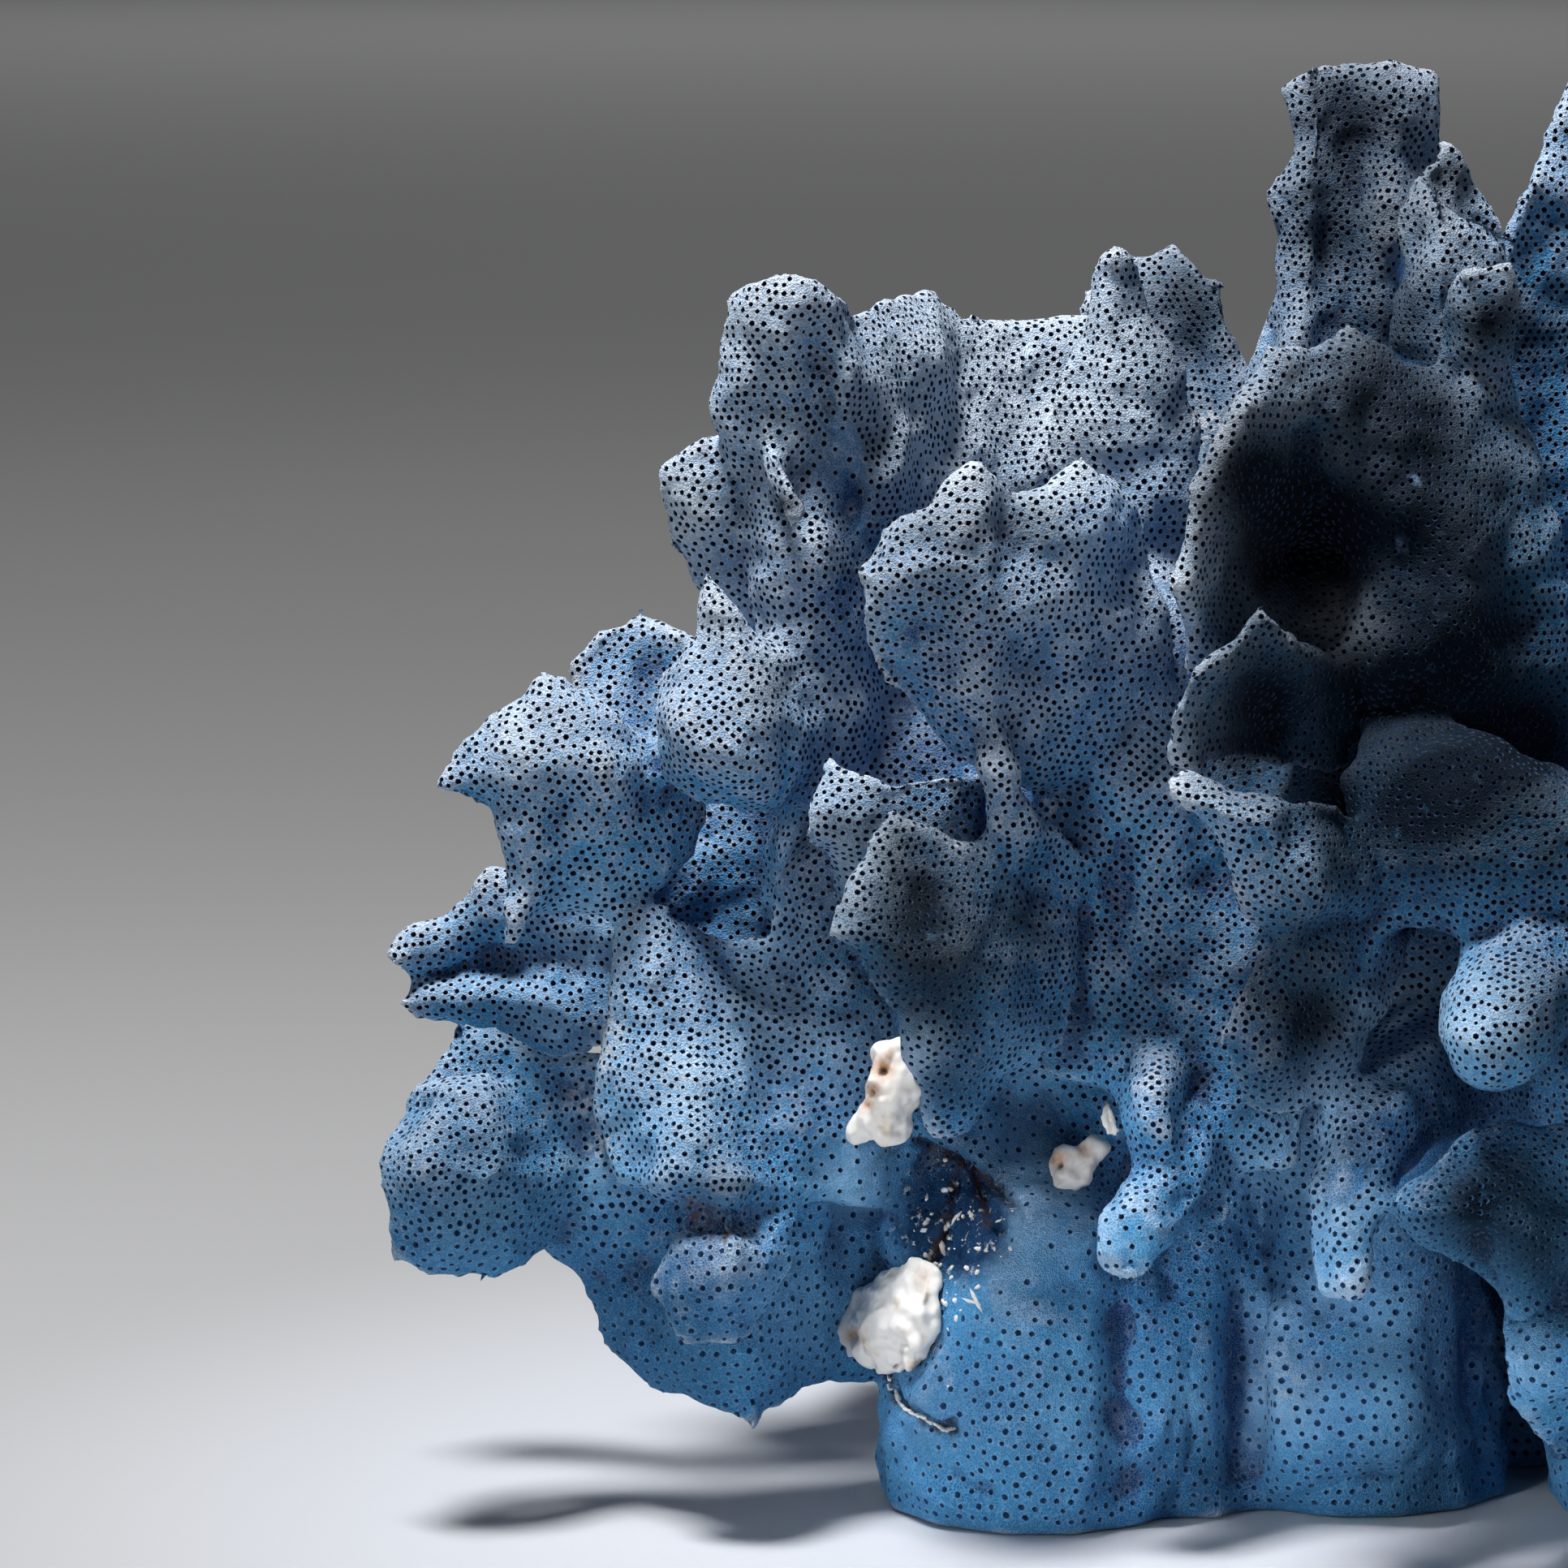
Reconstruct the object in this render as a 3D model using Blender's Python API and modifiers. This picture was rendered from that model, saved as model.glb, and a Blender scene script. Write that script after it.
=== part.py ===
# Blue ridge coral skeleton, in metres, +Z up, standing on the flat cut of its foot.
# The colony is about 263 mm wide, 202 mm high and 142 mm deep.
import math

import bmesh
import bpy
from mathutils import Matrix, Vector
from mathutils.bvhtree import BVHTree

MM = 0.001
GAP = 0.3 * MM  # what neighbouring branches keep between them
RIM = 2.8  # thickness of a frond at its free edge, mm
STOUT = 7.0  # thickness of a frond near its root, mm
LIMB_ROUNDNESS = 2  # bevel resolution of a round limb
TRUNK_SIDES = 13
SMALLEST_SHARE = 0.05  # a cut that leaves less than this of a branch has failed
NEARLY_FLAT = math.radians(2)  # faces that differ by less than this become one
WELD = 0.01 * MM
SHORTEST = 0.6 * MM  # an edge shorter than this is drawn into one point

# Fronds are drawn as they are seen: across and up in millimetres, from the front
# and a little above, and then the depth behind the middle of the colony.
VIEW_TILT = math.radians(8)
VIEW_DISTANCE = 1000.0
VIEW_AIM = (-80.44, 99.41)  # X and Z that the view is centred on
VIEW_CENTRE = (-80.44, 98.44)  # the same point, in the drawing's own millimetres

CORAL_BLUE = (0.16, 0.27, 0.42, 1)
SHELL_CREAM = (0.80, 0.74, 0.66, 1)


def seen(u, v, y):
    """The point in space, in mm, of a drawn point and its depth."""
    across, up = u - VIEW_CENTRE[0], v - VIEW_CENTRE[1]
    rise = (up * (VIEW_DISTANCE + y * math.cos(VIEW_TILT)) - VIEW_DISTANCE * y * math.sin(VIEW_TILT)) / (
        VIEW_DISTANCE * math.cos(VIEW_TILT) + up * math.sin(VIEW_TILT)
    )
    depth = VIEW_DISTANCE + y * math.cos(VIEW_TILT) - rise * math.sin(VIEW_TILT)
    return Vector((VIEW_AIM[0] + across * depth / VIEW_DISTANCE, y, VIEW_AIM[1] + rise))


def clear_scene():
    for item in list(bpy.data.objects):
        bpy.data.objects.remove(item, do_unlink=True)


def new_collection(name):
    made = bpy.data.collections.new(name)
    bpy.context.scene.collection.children.link(made)
    return made


def material(name, colour, roughness):
    made = bpy.data.materials.new(name)
    made.use_nodes = True
    shader = made.node_tree.nodes["Principled BSDF"]
    shader.inputs["Base Color"].default_value = colour
    shader.inputs["Roughness"].default_value = roughness
    shader.inputs["Metallic"].default_value = 0
    return made


def as_mesh(item):
    """The mesh that an object's modifiers make, with the object itself removed."""
    bpy.context.view_layer.update()
    graph = bpy.context.evaluated_depsgraph_get()
    made = bpy.data.meshes.new_from_object(item.evaluated_get(graph))
    bpy.data.objects.remove(item, do_unlink=True)
    return made


def scratch_object(name, mesh):
    item = bpy.data.objects.new(name, mesh)
    bpy.context.scene.collection.objects.link(item)
    return item


def tidy(mesh):
    """Welds a mesh, keeps its largest body, and gives it triangles that face outwards."""
    bm = bmesh.new()
    bm.from_mesh(mesh)
    bmesh.ops.remove_doubles(bm, verts=bm.verts, dist=WELD)
    keep_largest(bm)
    bmesh.ops.recalc_face_normals(bm, faces=bm.faces)
    bmesh.ops.triangulate(bm, faces=bm.faces)
    bm.to_mesh(mesh)
    bm.free()
    return mesh


def keep_largest(bm):
    bodies = []
    left = set(bm.faces)
    while left:
        first = left.pop()
        body, edge_of_search = {first}, [first]
        while edge_of_search:
            face = edge_of_search.pop()
            for edge in face.edges:
                for near in edge.link_faces:
                    if near in left:
                        left.remove(near)
                        body.add(near)
                        edge_of_search.append(near)
        bodies.append(body)
    bodies.sort(key=lambda body: sum(face.calc_area() for face in body))
    small = [face for body in bodies[:-1] for face in body]
    bmesh.ops.delete(bm, geom=small, context="FACES")


def sheet(rows, free, stout=STOUT, rim=RIM):
    """A closed frond from rows of points, thin along the sides that are free."""
    high, wide = len(rows), len(rows[0])
    bm = bmesh.new()
    made = bmesh.ops.create_grid(bm, x_segments=wide - 1, y_segments=high - 1, size=0.5)
    order = sorted(made["verts"], key=lambda vert: (round(vert.co.y, 4), round(vert.co.x, 4)))
    for index, vert in enumerate(order):
        vert.co = rows[index // wide][index % wide] * MM
    mesh = bpy.data.meshes.new("sheet")
    bm.verts.index_update()
    place = {vert.index: index for index, vert in enumerate(order)}
    bm.to_mesh(mesh)
    bm.free()
    item = scratch_object("sheet", mesh)
    group = item.vertex_groups.new(name="thickness")
    for vert in mesh.vertices:
        row, column = divmod(place[vert.index], wide)
        inset = {"bottom": row, "top": high - 1 - row, "left": column, "right": wide - 1 - column}
        steps = min([inset[side] for side in free] or [9])
        share = (rim / stout, 0.72, 0.9)[steps] if steps < 3 else 1.0
        group.add([vert.index], share, "REPLACE")
    solid = item.modifiers.new("wall", "SOLIDIFY")
    solid.thickness = stout * MM
    solid.offset = 0
    solid.vertex_group = group.name
    return tidy(as_mesh(item))


def drawn(rows):
    return [[seen(*point) for point in row] for row in rows]


def limb(stations, round_start=False):
    """A round limb through (u, v, depth, radius) stations, with a blunt tip."""
    points = [(seen(u, v, y), radius) for u, v, y, radius in stations]
    points += blunt_end(points[-2][0], *points[-1])
    if round_start:
        points = blunt_end(points[1][0], *points[0])[::-1] + points
    curve = bpy.data.curves.new("limb", "CURVE")
    curve.dimensions = "3D"
    curve.bevel_depth = 1.0
    curve.bevel_resolution = LIMB_ROUNDNESS
    curve.use_fill_caps = True
    spline = curve.splines.new("POLY")
    spline.points.add(len(points) - 1)
    for point, (place, radius) in zip(spline.points, points):
        point.co = (*(place * MM), 1)
        point.radius = radius * MM
    item = bpy.data.objects.new("limb", curve)
    bpy.context.scene.collection.objects.link(item)
    return tidy(as_mesh(item))


def blunt_end(before, last, radius):
    along = (last - before).normalized()
    return [(last + along * radius * 0.55, radius * 0.75), (last + along * radius * 0.9, radius * 0.3)]


def lump(rings):
    """An upright mass through (x, y, z, half width, half depth) rings."""
    bm = bmesh.new()
    loops = []
    for x, y, z, wide, deep in rings:
        made = bmesh.ops.create_circle(bm, segments=TRUNK_SIDES, radius=1.0)
        placed = Matrix.Translation(Vector((x, y, z)) * MM) @ Matrix.Diagonal((wide * MM, deep * MM, 1, 1))
        bmesh.ops.transform(bm, matrix=placed, verts=made["verts"])
        loops.append(list({edge for vert in made["verts"] for edge in vert.link_edges}))
    for low, high in zip(loops, loops[1:]):
        bmesh.ops.bridge_loops(bm, edges=low + high)
    bmesh.ops.contextual_create(bm, geom=loops[0])
    bmesh.ops.contextual_create(bm, geom=loops[-1])
    mesh = bpy.data.meshes.new("lump")
    bm.to_mesh(mesh)
    bm.free()
    return tidy(mesh)


def combined(first, others, operation):
    """One mesh joined with others, or with others cut away from it, one by one."""
    for other in others:
        for solver in ("EXACT", "MANIFOLD"):
            made = boolean_of(first, other, operation, solver)
            if is_closed(made) and volume_of(made) > SMALLEST_SHARE * volume_of(first):
                break
        first = made
    return first


def boolean_of(first, other, operation, solver):
    item = scratch_object("combined", first.copy())
    tool = scratch_object("tool", other)
    boolean = item.modifiers.new("boolean", "BOOLEAN")
    boolean.operation = operation
    boolean.solver = solver
    boolean.object = tool
    made = as_mesh(item)
    bpy.data.objects.remove(tool, do_unlink=True)
    return tidy(made)


def is_closed(mesh):
    bm = bmesh.new()
    bm.from_mesh(mesh)
    closed = bool(bm.faces) and all(edge.is_manifold and edge.is_contiguous for edge in bm.edges)
    bm.free()
    return closed


def volume_of(mesh):
    bm = bmesh.new()
    bm.from_mesh(mesh)
    volume = abs(bm.calc_volume())
    bm.free()
    return volume


def grown(mesh, by):
    """A copy of a mesh whose surface stands out a little further."""
    bm = bmesh.new()
    bm.from_mesh(mesh)
    bm.normal_update()
    for vert in bm.verts:
        vert.co += vert.normal * by * vert.calc_shell_factor()
    made = bpy.data.meshes.new("grown")
    bm.to_mesh(made)
    bm.free()
    return made


def box_of(mesh):
    places = [vert.co for vert in mesh.vertices]
    return [(min(p[i] for p in places), max(p[i] for p in places)) for i in range(3)]


def boxes_meet(one, two):
    return all(a[0] < b[1] and b[0] < a[1] for a, b in zip(one, two))


def cut_at_ground(mesh):
    bm = bmesh.new()
    bm.from_mesh(mesh)
    everything = bm.verts[:] + bm.edges[:] + bm.faces[:]
    cut = bmesh.ops.bisect_plane(bm, geom=everything, plane_co=(0, 0, 0), plane_no=(0, 0, -1), clear_outer=True)
    rim = [item for item in cut["geom_cut"] if isinstance(item, bmesh.types.BMEdge)]
    bmesh.ops.holes_fill(bm, edges=rim)
    bm.to_mesh(mesh)
    bm.free()
    return tidy(mesh)


# Upright masses of the trunk, as (x, y, z, half width, half depth) rings in mm.
TRUNK_LUMPS = (
    ((-46, -2, -4, 21, 23), (-45, -3, 12, 23, 25), (-45, -3, 28, 21, 24), (-45, -4, 40, 16, 19), (-46, -4, 48, 7, 9)),
    ((-25, 8, -6, 15, 24), (-24, 6, 16, 17, 23), (-25, 10, 40, 14, 22), (-22, 10, 70, 12, 20)),
    (
        (0, 7, -5, 22, 20), (-2, 3, 10, 21, 24), (1, 5, 30, 17, 22), (0, 4, 50, 20, 21),
        (0, 0, 74, 25, 26), (2, -3, 94, 27, 27), (3, -1, 110, 25, 21), (0, 2, 128, 21, 12), (0, 3, 142, 12, 6),
        (0, 3, 147, 4, 2),
    ),
    (
        (46, -3, -6, 20, 26), (47, -5, 10, 23, 30), (43, -1, 28, 19, 25), (38, -3, 50, 23, 29),
        (37, -4, 72, 26, 31), (37, -2, 94, 25, 27), (38, 1, 112, 19, 17), (40, 4, 124, 9, 8),
        (41, 5, 128, 3, 3),
    ),
    (
        (-40, 15, 26, 20, 14), (-43, 12, 48, 26, 18), (-48, 5, 70, 33, 19), (-50, 3, 90, 33, 18),
        (-54, 4, 108, 25, 14), (-58, 6, 124, 12, 7),
    ),
    ((-57, -2, 22, 10, 12), (-58, -3, 38, 10, 13), (-57, -2, 48, 8, 11), (-56, 0, 55, 4, 5)),
    (
        (44, 14, 16, 15, 14), (53, 14, 44, 27, 19), (61, 11, 68, 33, 22), (66, 9, 92, 30, 20),
        (66, 12, 112, 24, 16), (65, 17, 128, 16, 10), (64, 20, 138, 7, 5),
    ),
    (
        (-26, 28, -7, 24, 17), (-29, 31, 12, 27, 19), (-31, 31, 34, 22, 17), (-33, 33, 58, 25, 20),
        (-32, 34, 84, 22, 17), (-31, 38, 108, 14, 11), (-30, 43, 122, 8, 7),
    ),
    (
        (20, 30, -8, 26, 17), (22, 34, 14, 29, 19), (19, 31, 36, 23, 18), (17, 33, 60, 26, 20),
        (16, 31, 86, 21, 16), (13, 30, 104, 13, 12),
    ),
)

# Fronds, each as rows of drawn points (u, v, depth), with the sides that are free.
SHEETS = {
    "central_mass": {
        "rows": (
            ((-45, 60, -17), (-37, 57, -19), (-28, 50, -18), (-18, 46, -22), (-11, 47, -21)),
            ((-47, 75, -16), (-37, 75, -19), (-28, 70, -19), (-17, 62, -23), (-7, 62, -20)),
            ((-47, 90, -14), (-37, 90, -17), (-28, 90, -16), (-18, 92, -12), (-8, 92, -8)),
            ((-44, 105, -9), (-36, 105, -13), (-28, 105, -13), (-20, 108, -9), (-10, 108, -5)),
            ((-40, 120, -4), (-33, 121, -8), (-27, 122, -8), (-21, 124, -4), (-12, 124, 0)),
        ),
        "free": ("bottom",),
        "stout": 15.0,
        "rim": 8.0,
    },
    "left_branch": {
        "rows": (
            ((-66, 41, -4), (-76, 43, -14), (-88, 42, -22), (-97, 42, -24), (-101.5, 45, -20)),
            ((-64, 52, -6), (-76, 53, -16), (-88, 54, -20), (-98, 55, -21), (-105, 57, -17)),
            ((-64, 64, -6), (-77, 65, -12), (-89, 67, -15), (-98, 70, -17), (-103, 71, -15)),
            ((-64, 76, -4), (-78, 73, -5), (-90, 76, -8), (-98, 81.5, -11), (-104.5, 82, -11)),
        ),
        "free": ("top", "right"),
        "stout": 14.0,
        "rim": 5.0,
    },
    "left_crown": {
        "rows": (
            (
                (-83, 96, -6), (-79, 95, -9), (-75, 95, -10), (-70, 95, -7), (-64, 95, -3),
                (-57, 95, 2), (-48, 95, 6), (-38, 95, 8),
            ),
            (
                (-84, 118, -10), (-80, 118, -13), (-75, 118, -13), (-70, 118, -9), (-64, 118, -3),
                (-56, 118, 6), (-46, 118, 12), (-36, 118, 14),
            ),
            (
                (-86, 139, -12), (-82, 140, -16), (-76, 140, -15), (-70, 140, -13), (-64, 139, -4),
                (-56, 140, 10), (-46, 140, 18), (-34, 140, 20),
            ),
            (
                (-90.2, 154, -13), (-84, 153, -18), (-78, 152, -15), (-72, 154, -16), (-66, 153, -5),
                (-58, 154, 12), (-48, 153, 22), (-35, 152, 24),
            ),
            (
                (-86.5, 163.5, -15), (-83, 167, -19), (-79, 168.2, -19), (-74.5, 166, -17), (-70.5, 162, -8),
                (-61, 165.2, 13), (-50, 162.3, 24), (-36, 163.5, 26),
            ),
        ),
        "free": ("left", "top"),
    },
    "spiky_frond": {
        "rows": (
            ((-42, 118, -8), (-33, 118, -13), (-23, 118, -8)),
            ((-42, 134, -7), (-33, 134, -10), (-24, 134, -7)),
            ((-43.6, 145, -6), (-33.5, 145, -9), (-23.8, 146, -6)),
            ((-41.8, 153, -6), (-34, 153, -8.5), (-25.2, 153, -6)),
            ((-39.4, 160, -5), (-34.8, 160.5, -7), (-29, 160.5, -5)),
            ((-38.2, 168, -4), (-35.3, 170.4, -5.4), (-32.4, 168.4, -4)),
        ),
        "free": ("left", "right", "top"),
    },
    "far_back_frond": {
        "rows": (
            ((-42, 110, 34), (-34, 108, 39), (-26, 108, 39), (-16, 110, 34)),
            ((-43, 136, 50), (-34, 136, 57), (-25, 136, 58), (-15, 138, 50)),
            ((-41, 156, 58), (-34, 157, 65), (-26, 158, 65), (-17, 156, 58)),
            ((-38.5, 166, 60), (-33.5, 171.5, 66), (-27.5, 173, 66), (-21, 168, 60)),
        ),
        "free": ("left", "right", "top"),
    },
    "center_fan": {
        "rows": (
            ((-59, 104, -27), (-56, 101, -28), (-52, 99, -26), (-46, 98, -20), (-38, 98, -15), (-30, 98, -12)),
            ((-66.5, 113, -34), (-60, 111, -32), (-53, 110, -31), (-46, 110, -27), (-38, 110, -22), (-30, 110, -16)),
            ((-68.5, 120, -37), (-62, 119, -36), (-54, 120, -37), (-46, 119, -31), (-38, 120, -28), (-30, 120, -19)),
            ((-69.2, 127.5, -37), (-63, 128, -39), (-55, 129, -39), (-47, 128, -33), (-38, 130, -30), (-30, 128, -21)),
            ((-65.5, 133.5, -35), (-60.5, 136, -36), (-55, 141.7, -34), (-48.5, 137.5, -31), (-41, 141.8, -28), (-32, 136.5, -21)),
        ),
        "free": ("left", "top"),
    },
    "center_plate": {
        "rows": (
            ((-73.5, 82, -13), (-66, 78, -14), (-58, 78, -15), (-50, 80, -16)),
            ((-76, 91, -24), (-68, 91, -26), (-60, 91, -26), (-52, 91, -22)),
            ((-74, 101, -22), (-66, 98.4, -26), (-59.5, 99.5, -25), (-53, 99, -21)),
        ),
        "free": ("left", "top"),
        "stout": 5.0,
        "rim": 2.4,
    },
    "center_spike": {
        "rows": (
            ((-54, 80, -24), (-50, 80, -22), (-44, 78, -17), (-36, 70, -12)),
            ((-53, 88, -30), (-49.5, 88, -29), (-43, 86, -26), (-36, 80, -20)),
            ((-52, 93, -33), (-48.5, 92.5, -32), (-43, 91, -29), (-37.5, 88, -24)),
        ),
        "free": ("left", "top"),
        "stout": 5.0,
    },
    "dark_front_frond": {
        "rows": (
            ((-59, 51.2, -32), (-57.4, 50.8, -31), (-54.6, 53, -29), (-50, 60, -24)),
            ((-62, 57.5, -36), (-58, 58, -34), (-53, 60.5, -31), (-44, 65, -24)),
            ((-67.5, 68.5, -42), (-60, 69, -40), (-52, 70, -34), (-43, 72, -24)),
            ((-74.3, 77.5, -46), (-66, 76, -47), (-56, 75, -40), (-43, 77, -24)),
            ((-73.5, 84, -44), (-66, 83, -39), (-56, 82, -34), (-43, 83, -24)),
            ((-70, 90.5, -41), (-65.7, 93.2, -39), (-57, 89.3, -35), (-46, 89, -25)),
        ),
        "free": ("left", "top", "bottom"),
        "rim": 2.4,
    },
    "behind_plate": {
        "rows": (
            ((-101, 68, 3), (-90, 66, 5), (-76, 64, 4)),
            ((-102.5, 80, 5), (-91, 79, 9), (-77, 79, 6)),
            ((-100, 87.5, 4), (-92, 90, 7), (-79, 88.7, 5)),
        ),
        "free": ("left", "top"),
        "stout": 6.0,
    },
    "column_lobe": {
        "rows": (
            ((-83, 52, -6), (-74, 50, -12), (-64, 50, -8)),
            ((-82.5, 66, -7), (-75, 66, -13), (-64, 66, -9)),
            ((-82, 79, -8), (-76, 79, -12), (-66, 79, -9)),
            ((-80.5, 87.8, -6), (-76, 88.9, -8), (-69, 88, -6)),
        ),
        "free": ("left", "top"),
        "stout": 8.0,
        "rim": 3.5,
    },
    "recess_sheet": {
        "rows": (
            ((-61.5, 50.5, -13), (-57, 48, -12), (-50, 42, -10), (-42, 42.5, -9), (-34, 41, -9)),
            ((-62.5, 56, -12), (-56, 56, -8), (-49, 53, -6), (-41, 52, -6), (-33, 52, -8)),
            ((-62, 66, -8), (-55, 66, -4), (-48, 66, -2), (-40, 66, -3), (-32, 66, -5)),
        ),
        "free": ("left", "bottom"),
        "stout": 6.0,
    },
    "left_hanging_plate": {
        "rows": (
            ((-98, 16.5, -8), (-93.5, 14, -11), (-89.5, 11.5, -14), (-86, 10.7, -16), (-78, 16.3, -5), (-69, 18, 4)),
            ((-103.5, 22, -9), (-98, 20.5, -12), (-92, 18.5, -15), (-86, 18, -17), (-76, 20, -3), (-67, 21, 5)),
            ((-107.2, 30, -9), (-101, 29.5, -13), (-94, 28, -14), (-85.5, 26, -17), (-75, 26, -2), (-64, 26, 5)),
            ((-114.5, 36.5, -10), (-105, 37, -13), (-95, 38, -12), (-84, 36, -13), (-74, 34, -3), (-62, 34, 3)),
            ((-112, 45, -12), (-104, 48, -14), (-94, 48, -12), (-83, 46, -8), (-73, 46, -4), (-62, 43, 0)),
        ),
        "free": ("left", "bottom"),
        "rim": 2.6,
    },
    "left_nose": {
        "rows": (
            ((-92.5, 25.5, -27), (-89, 23.4, -28), (-84.5, 26.5, -25)),
            ((-96.5, 31, -28), (-89, 31, -31), (-81, 32, -25)),
            ((-92.5, 38.5, -27), (-87, 39, -30), (-79, 40, -22)),
            ((-98.6, 45, -24), (-89, 47, -28), (-78, 48, -19)),
        ),
        "free": ("left", "bottom", "right"),
        "stout": 8.0,
        "rim": 4.0,
    },
    "left_curl": {
        "rows": (
            ((-112, 36, -11), (-117, 31.7, -15), (-122, 30.2, -19), (-128.5, 31, -23), (-134, 33.6, -25)),
            ((-110, 40, -13), (-117, 37, -21), (-123.5, 36, -26), (-129.5, 36.5, -28), (-134.4, 38, -25)),
            ((-108, 46, -12), (-116, 44, -21), (-123, 43.5, -28), (-130, 44, -30), (-135.2, 45, -24)),
            ((-107, 51, -11), (-115, 51, -18), (-122.5, 51.5, -25), (-129, 51.5, -26), (-133.6, 51, -20)),
            ((-107, 55, -11), (-115, 57, -15), (-122, 57.8, -19), (-127, 57.6, -19), (-131.2, 56, -15)),
        ),
        "free": ("right", "bottom", "top"),
        "stout": 6.0,
        "rim": 2.6,
    },
    "left_top_lobe": {
        "rows": (
            ((-100, 48, -12), (-110, 50, -11), (-120, 50, -11), (-129, 50, -13)),
            ((-100, 54, -12), (-110, 56.5, -11), (-120, 57, -13), (-131, 57, -13)),
            ((-102, 59.5, -12), (-111, 60.5, -12), (-119, 62, -14), (-128.4, 62.5, -12)),
            ((-104, 60.5, -12), (-112, 61.7, -12), (-121, 66.6, -12), (-126.4, 66.4, -11)),
        ),
        "free": ("right", "top"),
        "stout": 6.0,
    },
    "left_back_frond": {
        "rows": (
            ((-100, 64, 0), (-109, 61.5, 5), (-118, 63, 10), (-126.5, 65.2, 12), (-131, 66.2, 10)),
            ((-99, 70, 2), (-109, 68, 4), (-118, 68.5, 8), (-126, 69, 10), (-132.8, 69, 9)),
            ((-99, 76, 1), (-109, 74, 9), (-119, 74, 14), (-126, 72.5, 15), (-130, 72, 13)),
            ((-99, 81, -1), (-110, 80, 7), (-120, 80, 10), (-127, 76, 11), (-133.8, 74.8, 9)),
            ((-99, 86, -1), (-110, 85, 6), (-120, 87, 9), (-126.5, 79.8, 11), (-132, 77.6, 11)),
        ),
        "free": ("right", "bottom", "top"),
        "stout": 6.0,
    },
    "left_frond": {
        "rows": (
            ((-98, 86, -8), (-105, 80, -11), (-112, 80.5, -14), (-117, 79, -17), (-120.4, 75.6, -18)),
            ((-94, 89, -8), (-102, 87, -12), (-110, 87, -17), (-115, 87, -18), (-117.8, 86.5, -17)),
            ((-92, 94, -9), (-100, 95, -13), (-108, 95, -18), (-114, 95, -20), (-119.2, 94, -18)),
            ((-91, 98, -9), (-99.5, 100, -13), (-107.5, 101, -18), (-114.5, 101, -21), (-126.6, 99, -19)),
            ((-90, 102, -9), (-99.5, 103.5, -12), (-106.5, 107, -16), (-114, 108, -19), (-124.5, 104.6, -17)),
            ((-90, 104, -8), (-101, 104.5, -11), (-107, 110, -14), (-114.3, 113.3, -16), (-121.3, 108.2, -16)),
        ),
        "free": ("right", "bottom", "top"),
        "rim": 2.6,
    },
    "back_lobe": {
        "rows": (
            ((-101, 82, 10), (-92, 78, 10), (-76, 76, 8)),
            ((-105, 96, 12), (-96, 94, 12), (-80, 94, 6)),
            ((-107.5, 106, 16), (-99, 106, 18), (-86, 106, 10)),
            ((-108.8, 113, 19), (-100, 114, 22), (-88, 114, 14)),
            ((-105, 118.5, 19), (-99.5, 121.9, 22), (-91, 118, 16)),
        ),
        "free": ("left", "top", "right"),
        "stout": 6.0,
    },
    "upper_left_lobe": {
        "rows": (
            ((-91, 121, -1), (-86, 119, -3), (-82, 118, -4), (-77, 118, -5)),
            ((-92, 127.5, -4), (-89, 127, -7), (-85, 127, -6), (-79, 127, -7)),
            ((-97, 131.5, -7), (-92, 132, -10), (-86, 132, -8), (-79, 132, -8)),
            ((-98, 138, -7), (-93, 138.5, -11), (-86.5, 138.5, -8), (-80, 139, -8)),
            ((-95.6, 143, -7), (-91.5, 145.4, -10), (-87, 146, -8), (-81.3, 145.6, -8)),
        ),
        "free": ("left", "top"),
        "rim": 3.4,
    },
    "middle_left_lobe": {
        "rows": (
            ((-77, 95, -10), (-85, 94, -18), (-91, 96, -19), (-96, 99, -16)),
            ((-76, 101, -11), (-84, 101, -24), (-92, 102, -25), (-98, 103, -19)),
            ((-76, 107, -11), (-85, 108, -24), (-93, 109, -25), (-98.1, 107, -19)),
            ((-77, 113, -10), (-86, 116, -20), (-93.3, 116.6, -20), (-96.7, 111.8, -16)),
        ),
        "free": ("right", "top", "bottom"),
        "stout": 8.0,
        "rim": 4.0,
    },
    "tallest_frond": {
        "rows": (
            ((-19, 140, 2), (-12, 132, -2), (-4, 130, 0), (3, 130, 0), (10, 130, 4)),
            ((-18.5, 156, 8), (-10.5, 157, -2), (-4, 156, 4), (2, 156, 1), (9, 156, 5)),
            ((-13.4, 167, 6), (-9, 169, 2), (-4, 169, 7), (2, 169, 3), (9.4, 169, 7)),
            ((-14.2, 179.5, 6), (-9.5, 180, 3), (-4, 181, 9), (2, 181, 5), (9.6, 181, 9)),
            ((-11.6, 185, 7), (-8, 187, 4), (-3, 189, 9), (3, 190, 6), (9.8, 188, 10)),
            ((-11.6, 193.6, 8), (-8, 196.4, 6), (-2.5, 197.6, 10), (3, 198, 8), (9, 195, 11)),
        ),
        "free": ("left", "top", "right"),
    },
    "twisted_frond": {
        "rows": (
            ((19, 133, 4), (14, 133, 2), (6, 134, -4), (10, 133, -10), (18, 132, -8)),
            ((19.5, 147, 5), (14.5, 147, 4), (6, 147, -5), (10.5, 146, -13), (18.5, 146, -10)),
            ((19.5, 161, 5), (14, 162, 4), (5.6, 163, -6), (10.5, 162, -14), (19, 161, -10)),
            ((19.5, 171, 3), (13, 176, 3), (5.4, 174, -6), (10, 171.5, -13), (19, 168.5, -9)),
            ((18.5, 176, 2), (11.5, 186, 2), (6.6, 181.5, -4), (10, 177.5, -12), (18.6, 172.6, -8)),
        ),
        "free": ("left", "top", "right"),
        "stout": 5.0,
        "rim": 2.4,
    },
    "twisted_fold": {
        "rows": (
            ((9, 142, -26), (15, 141, -24), (20.5, 141, -18)),
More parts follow.
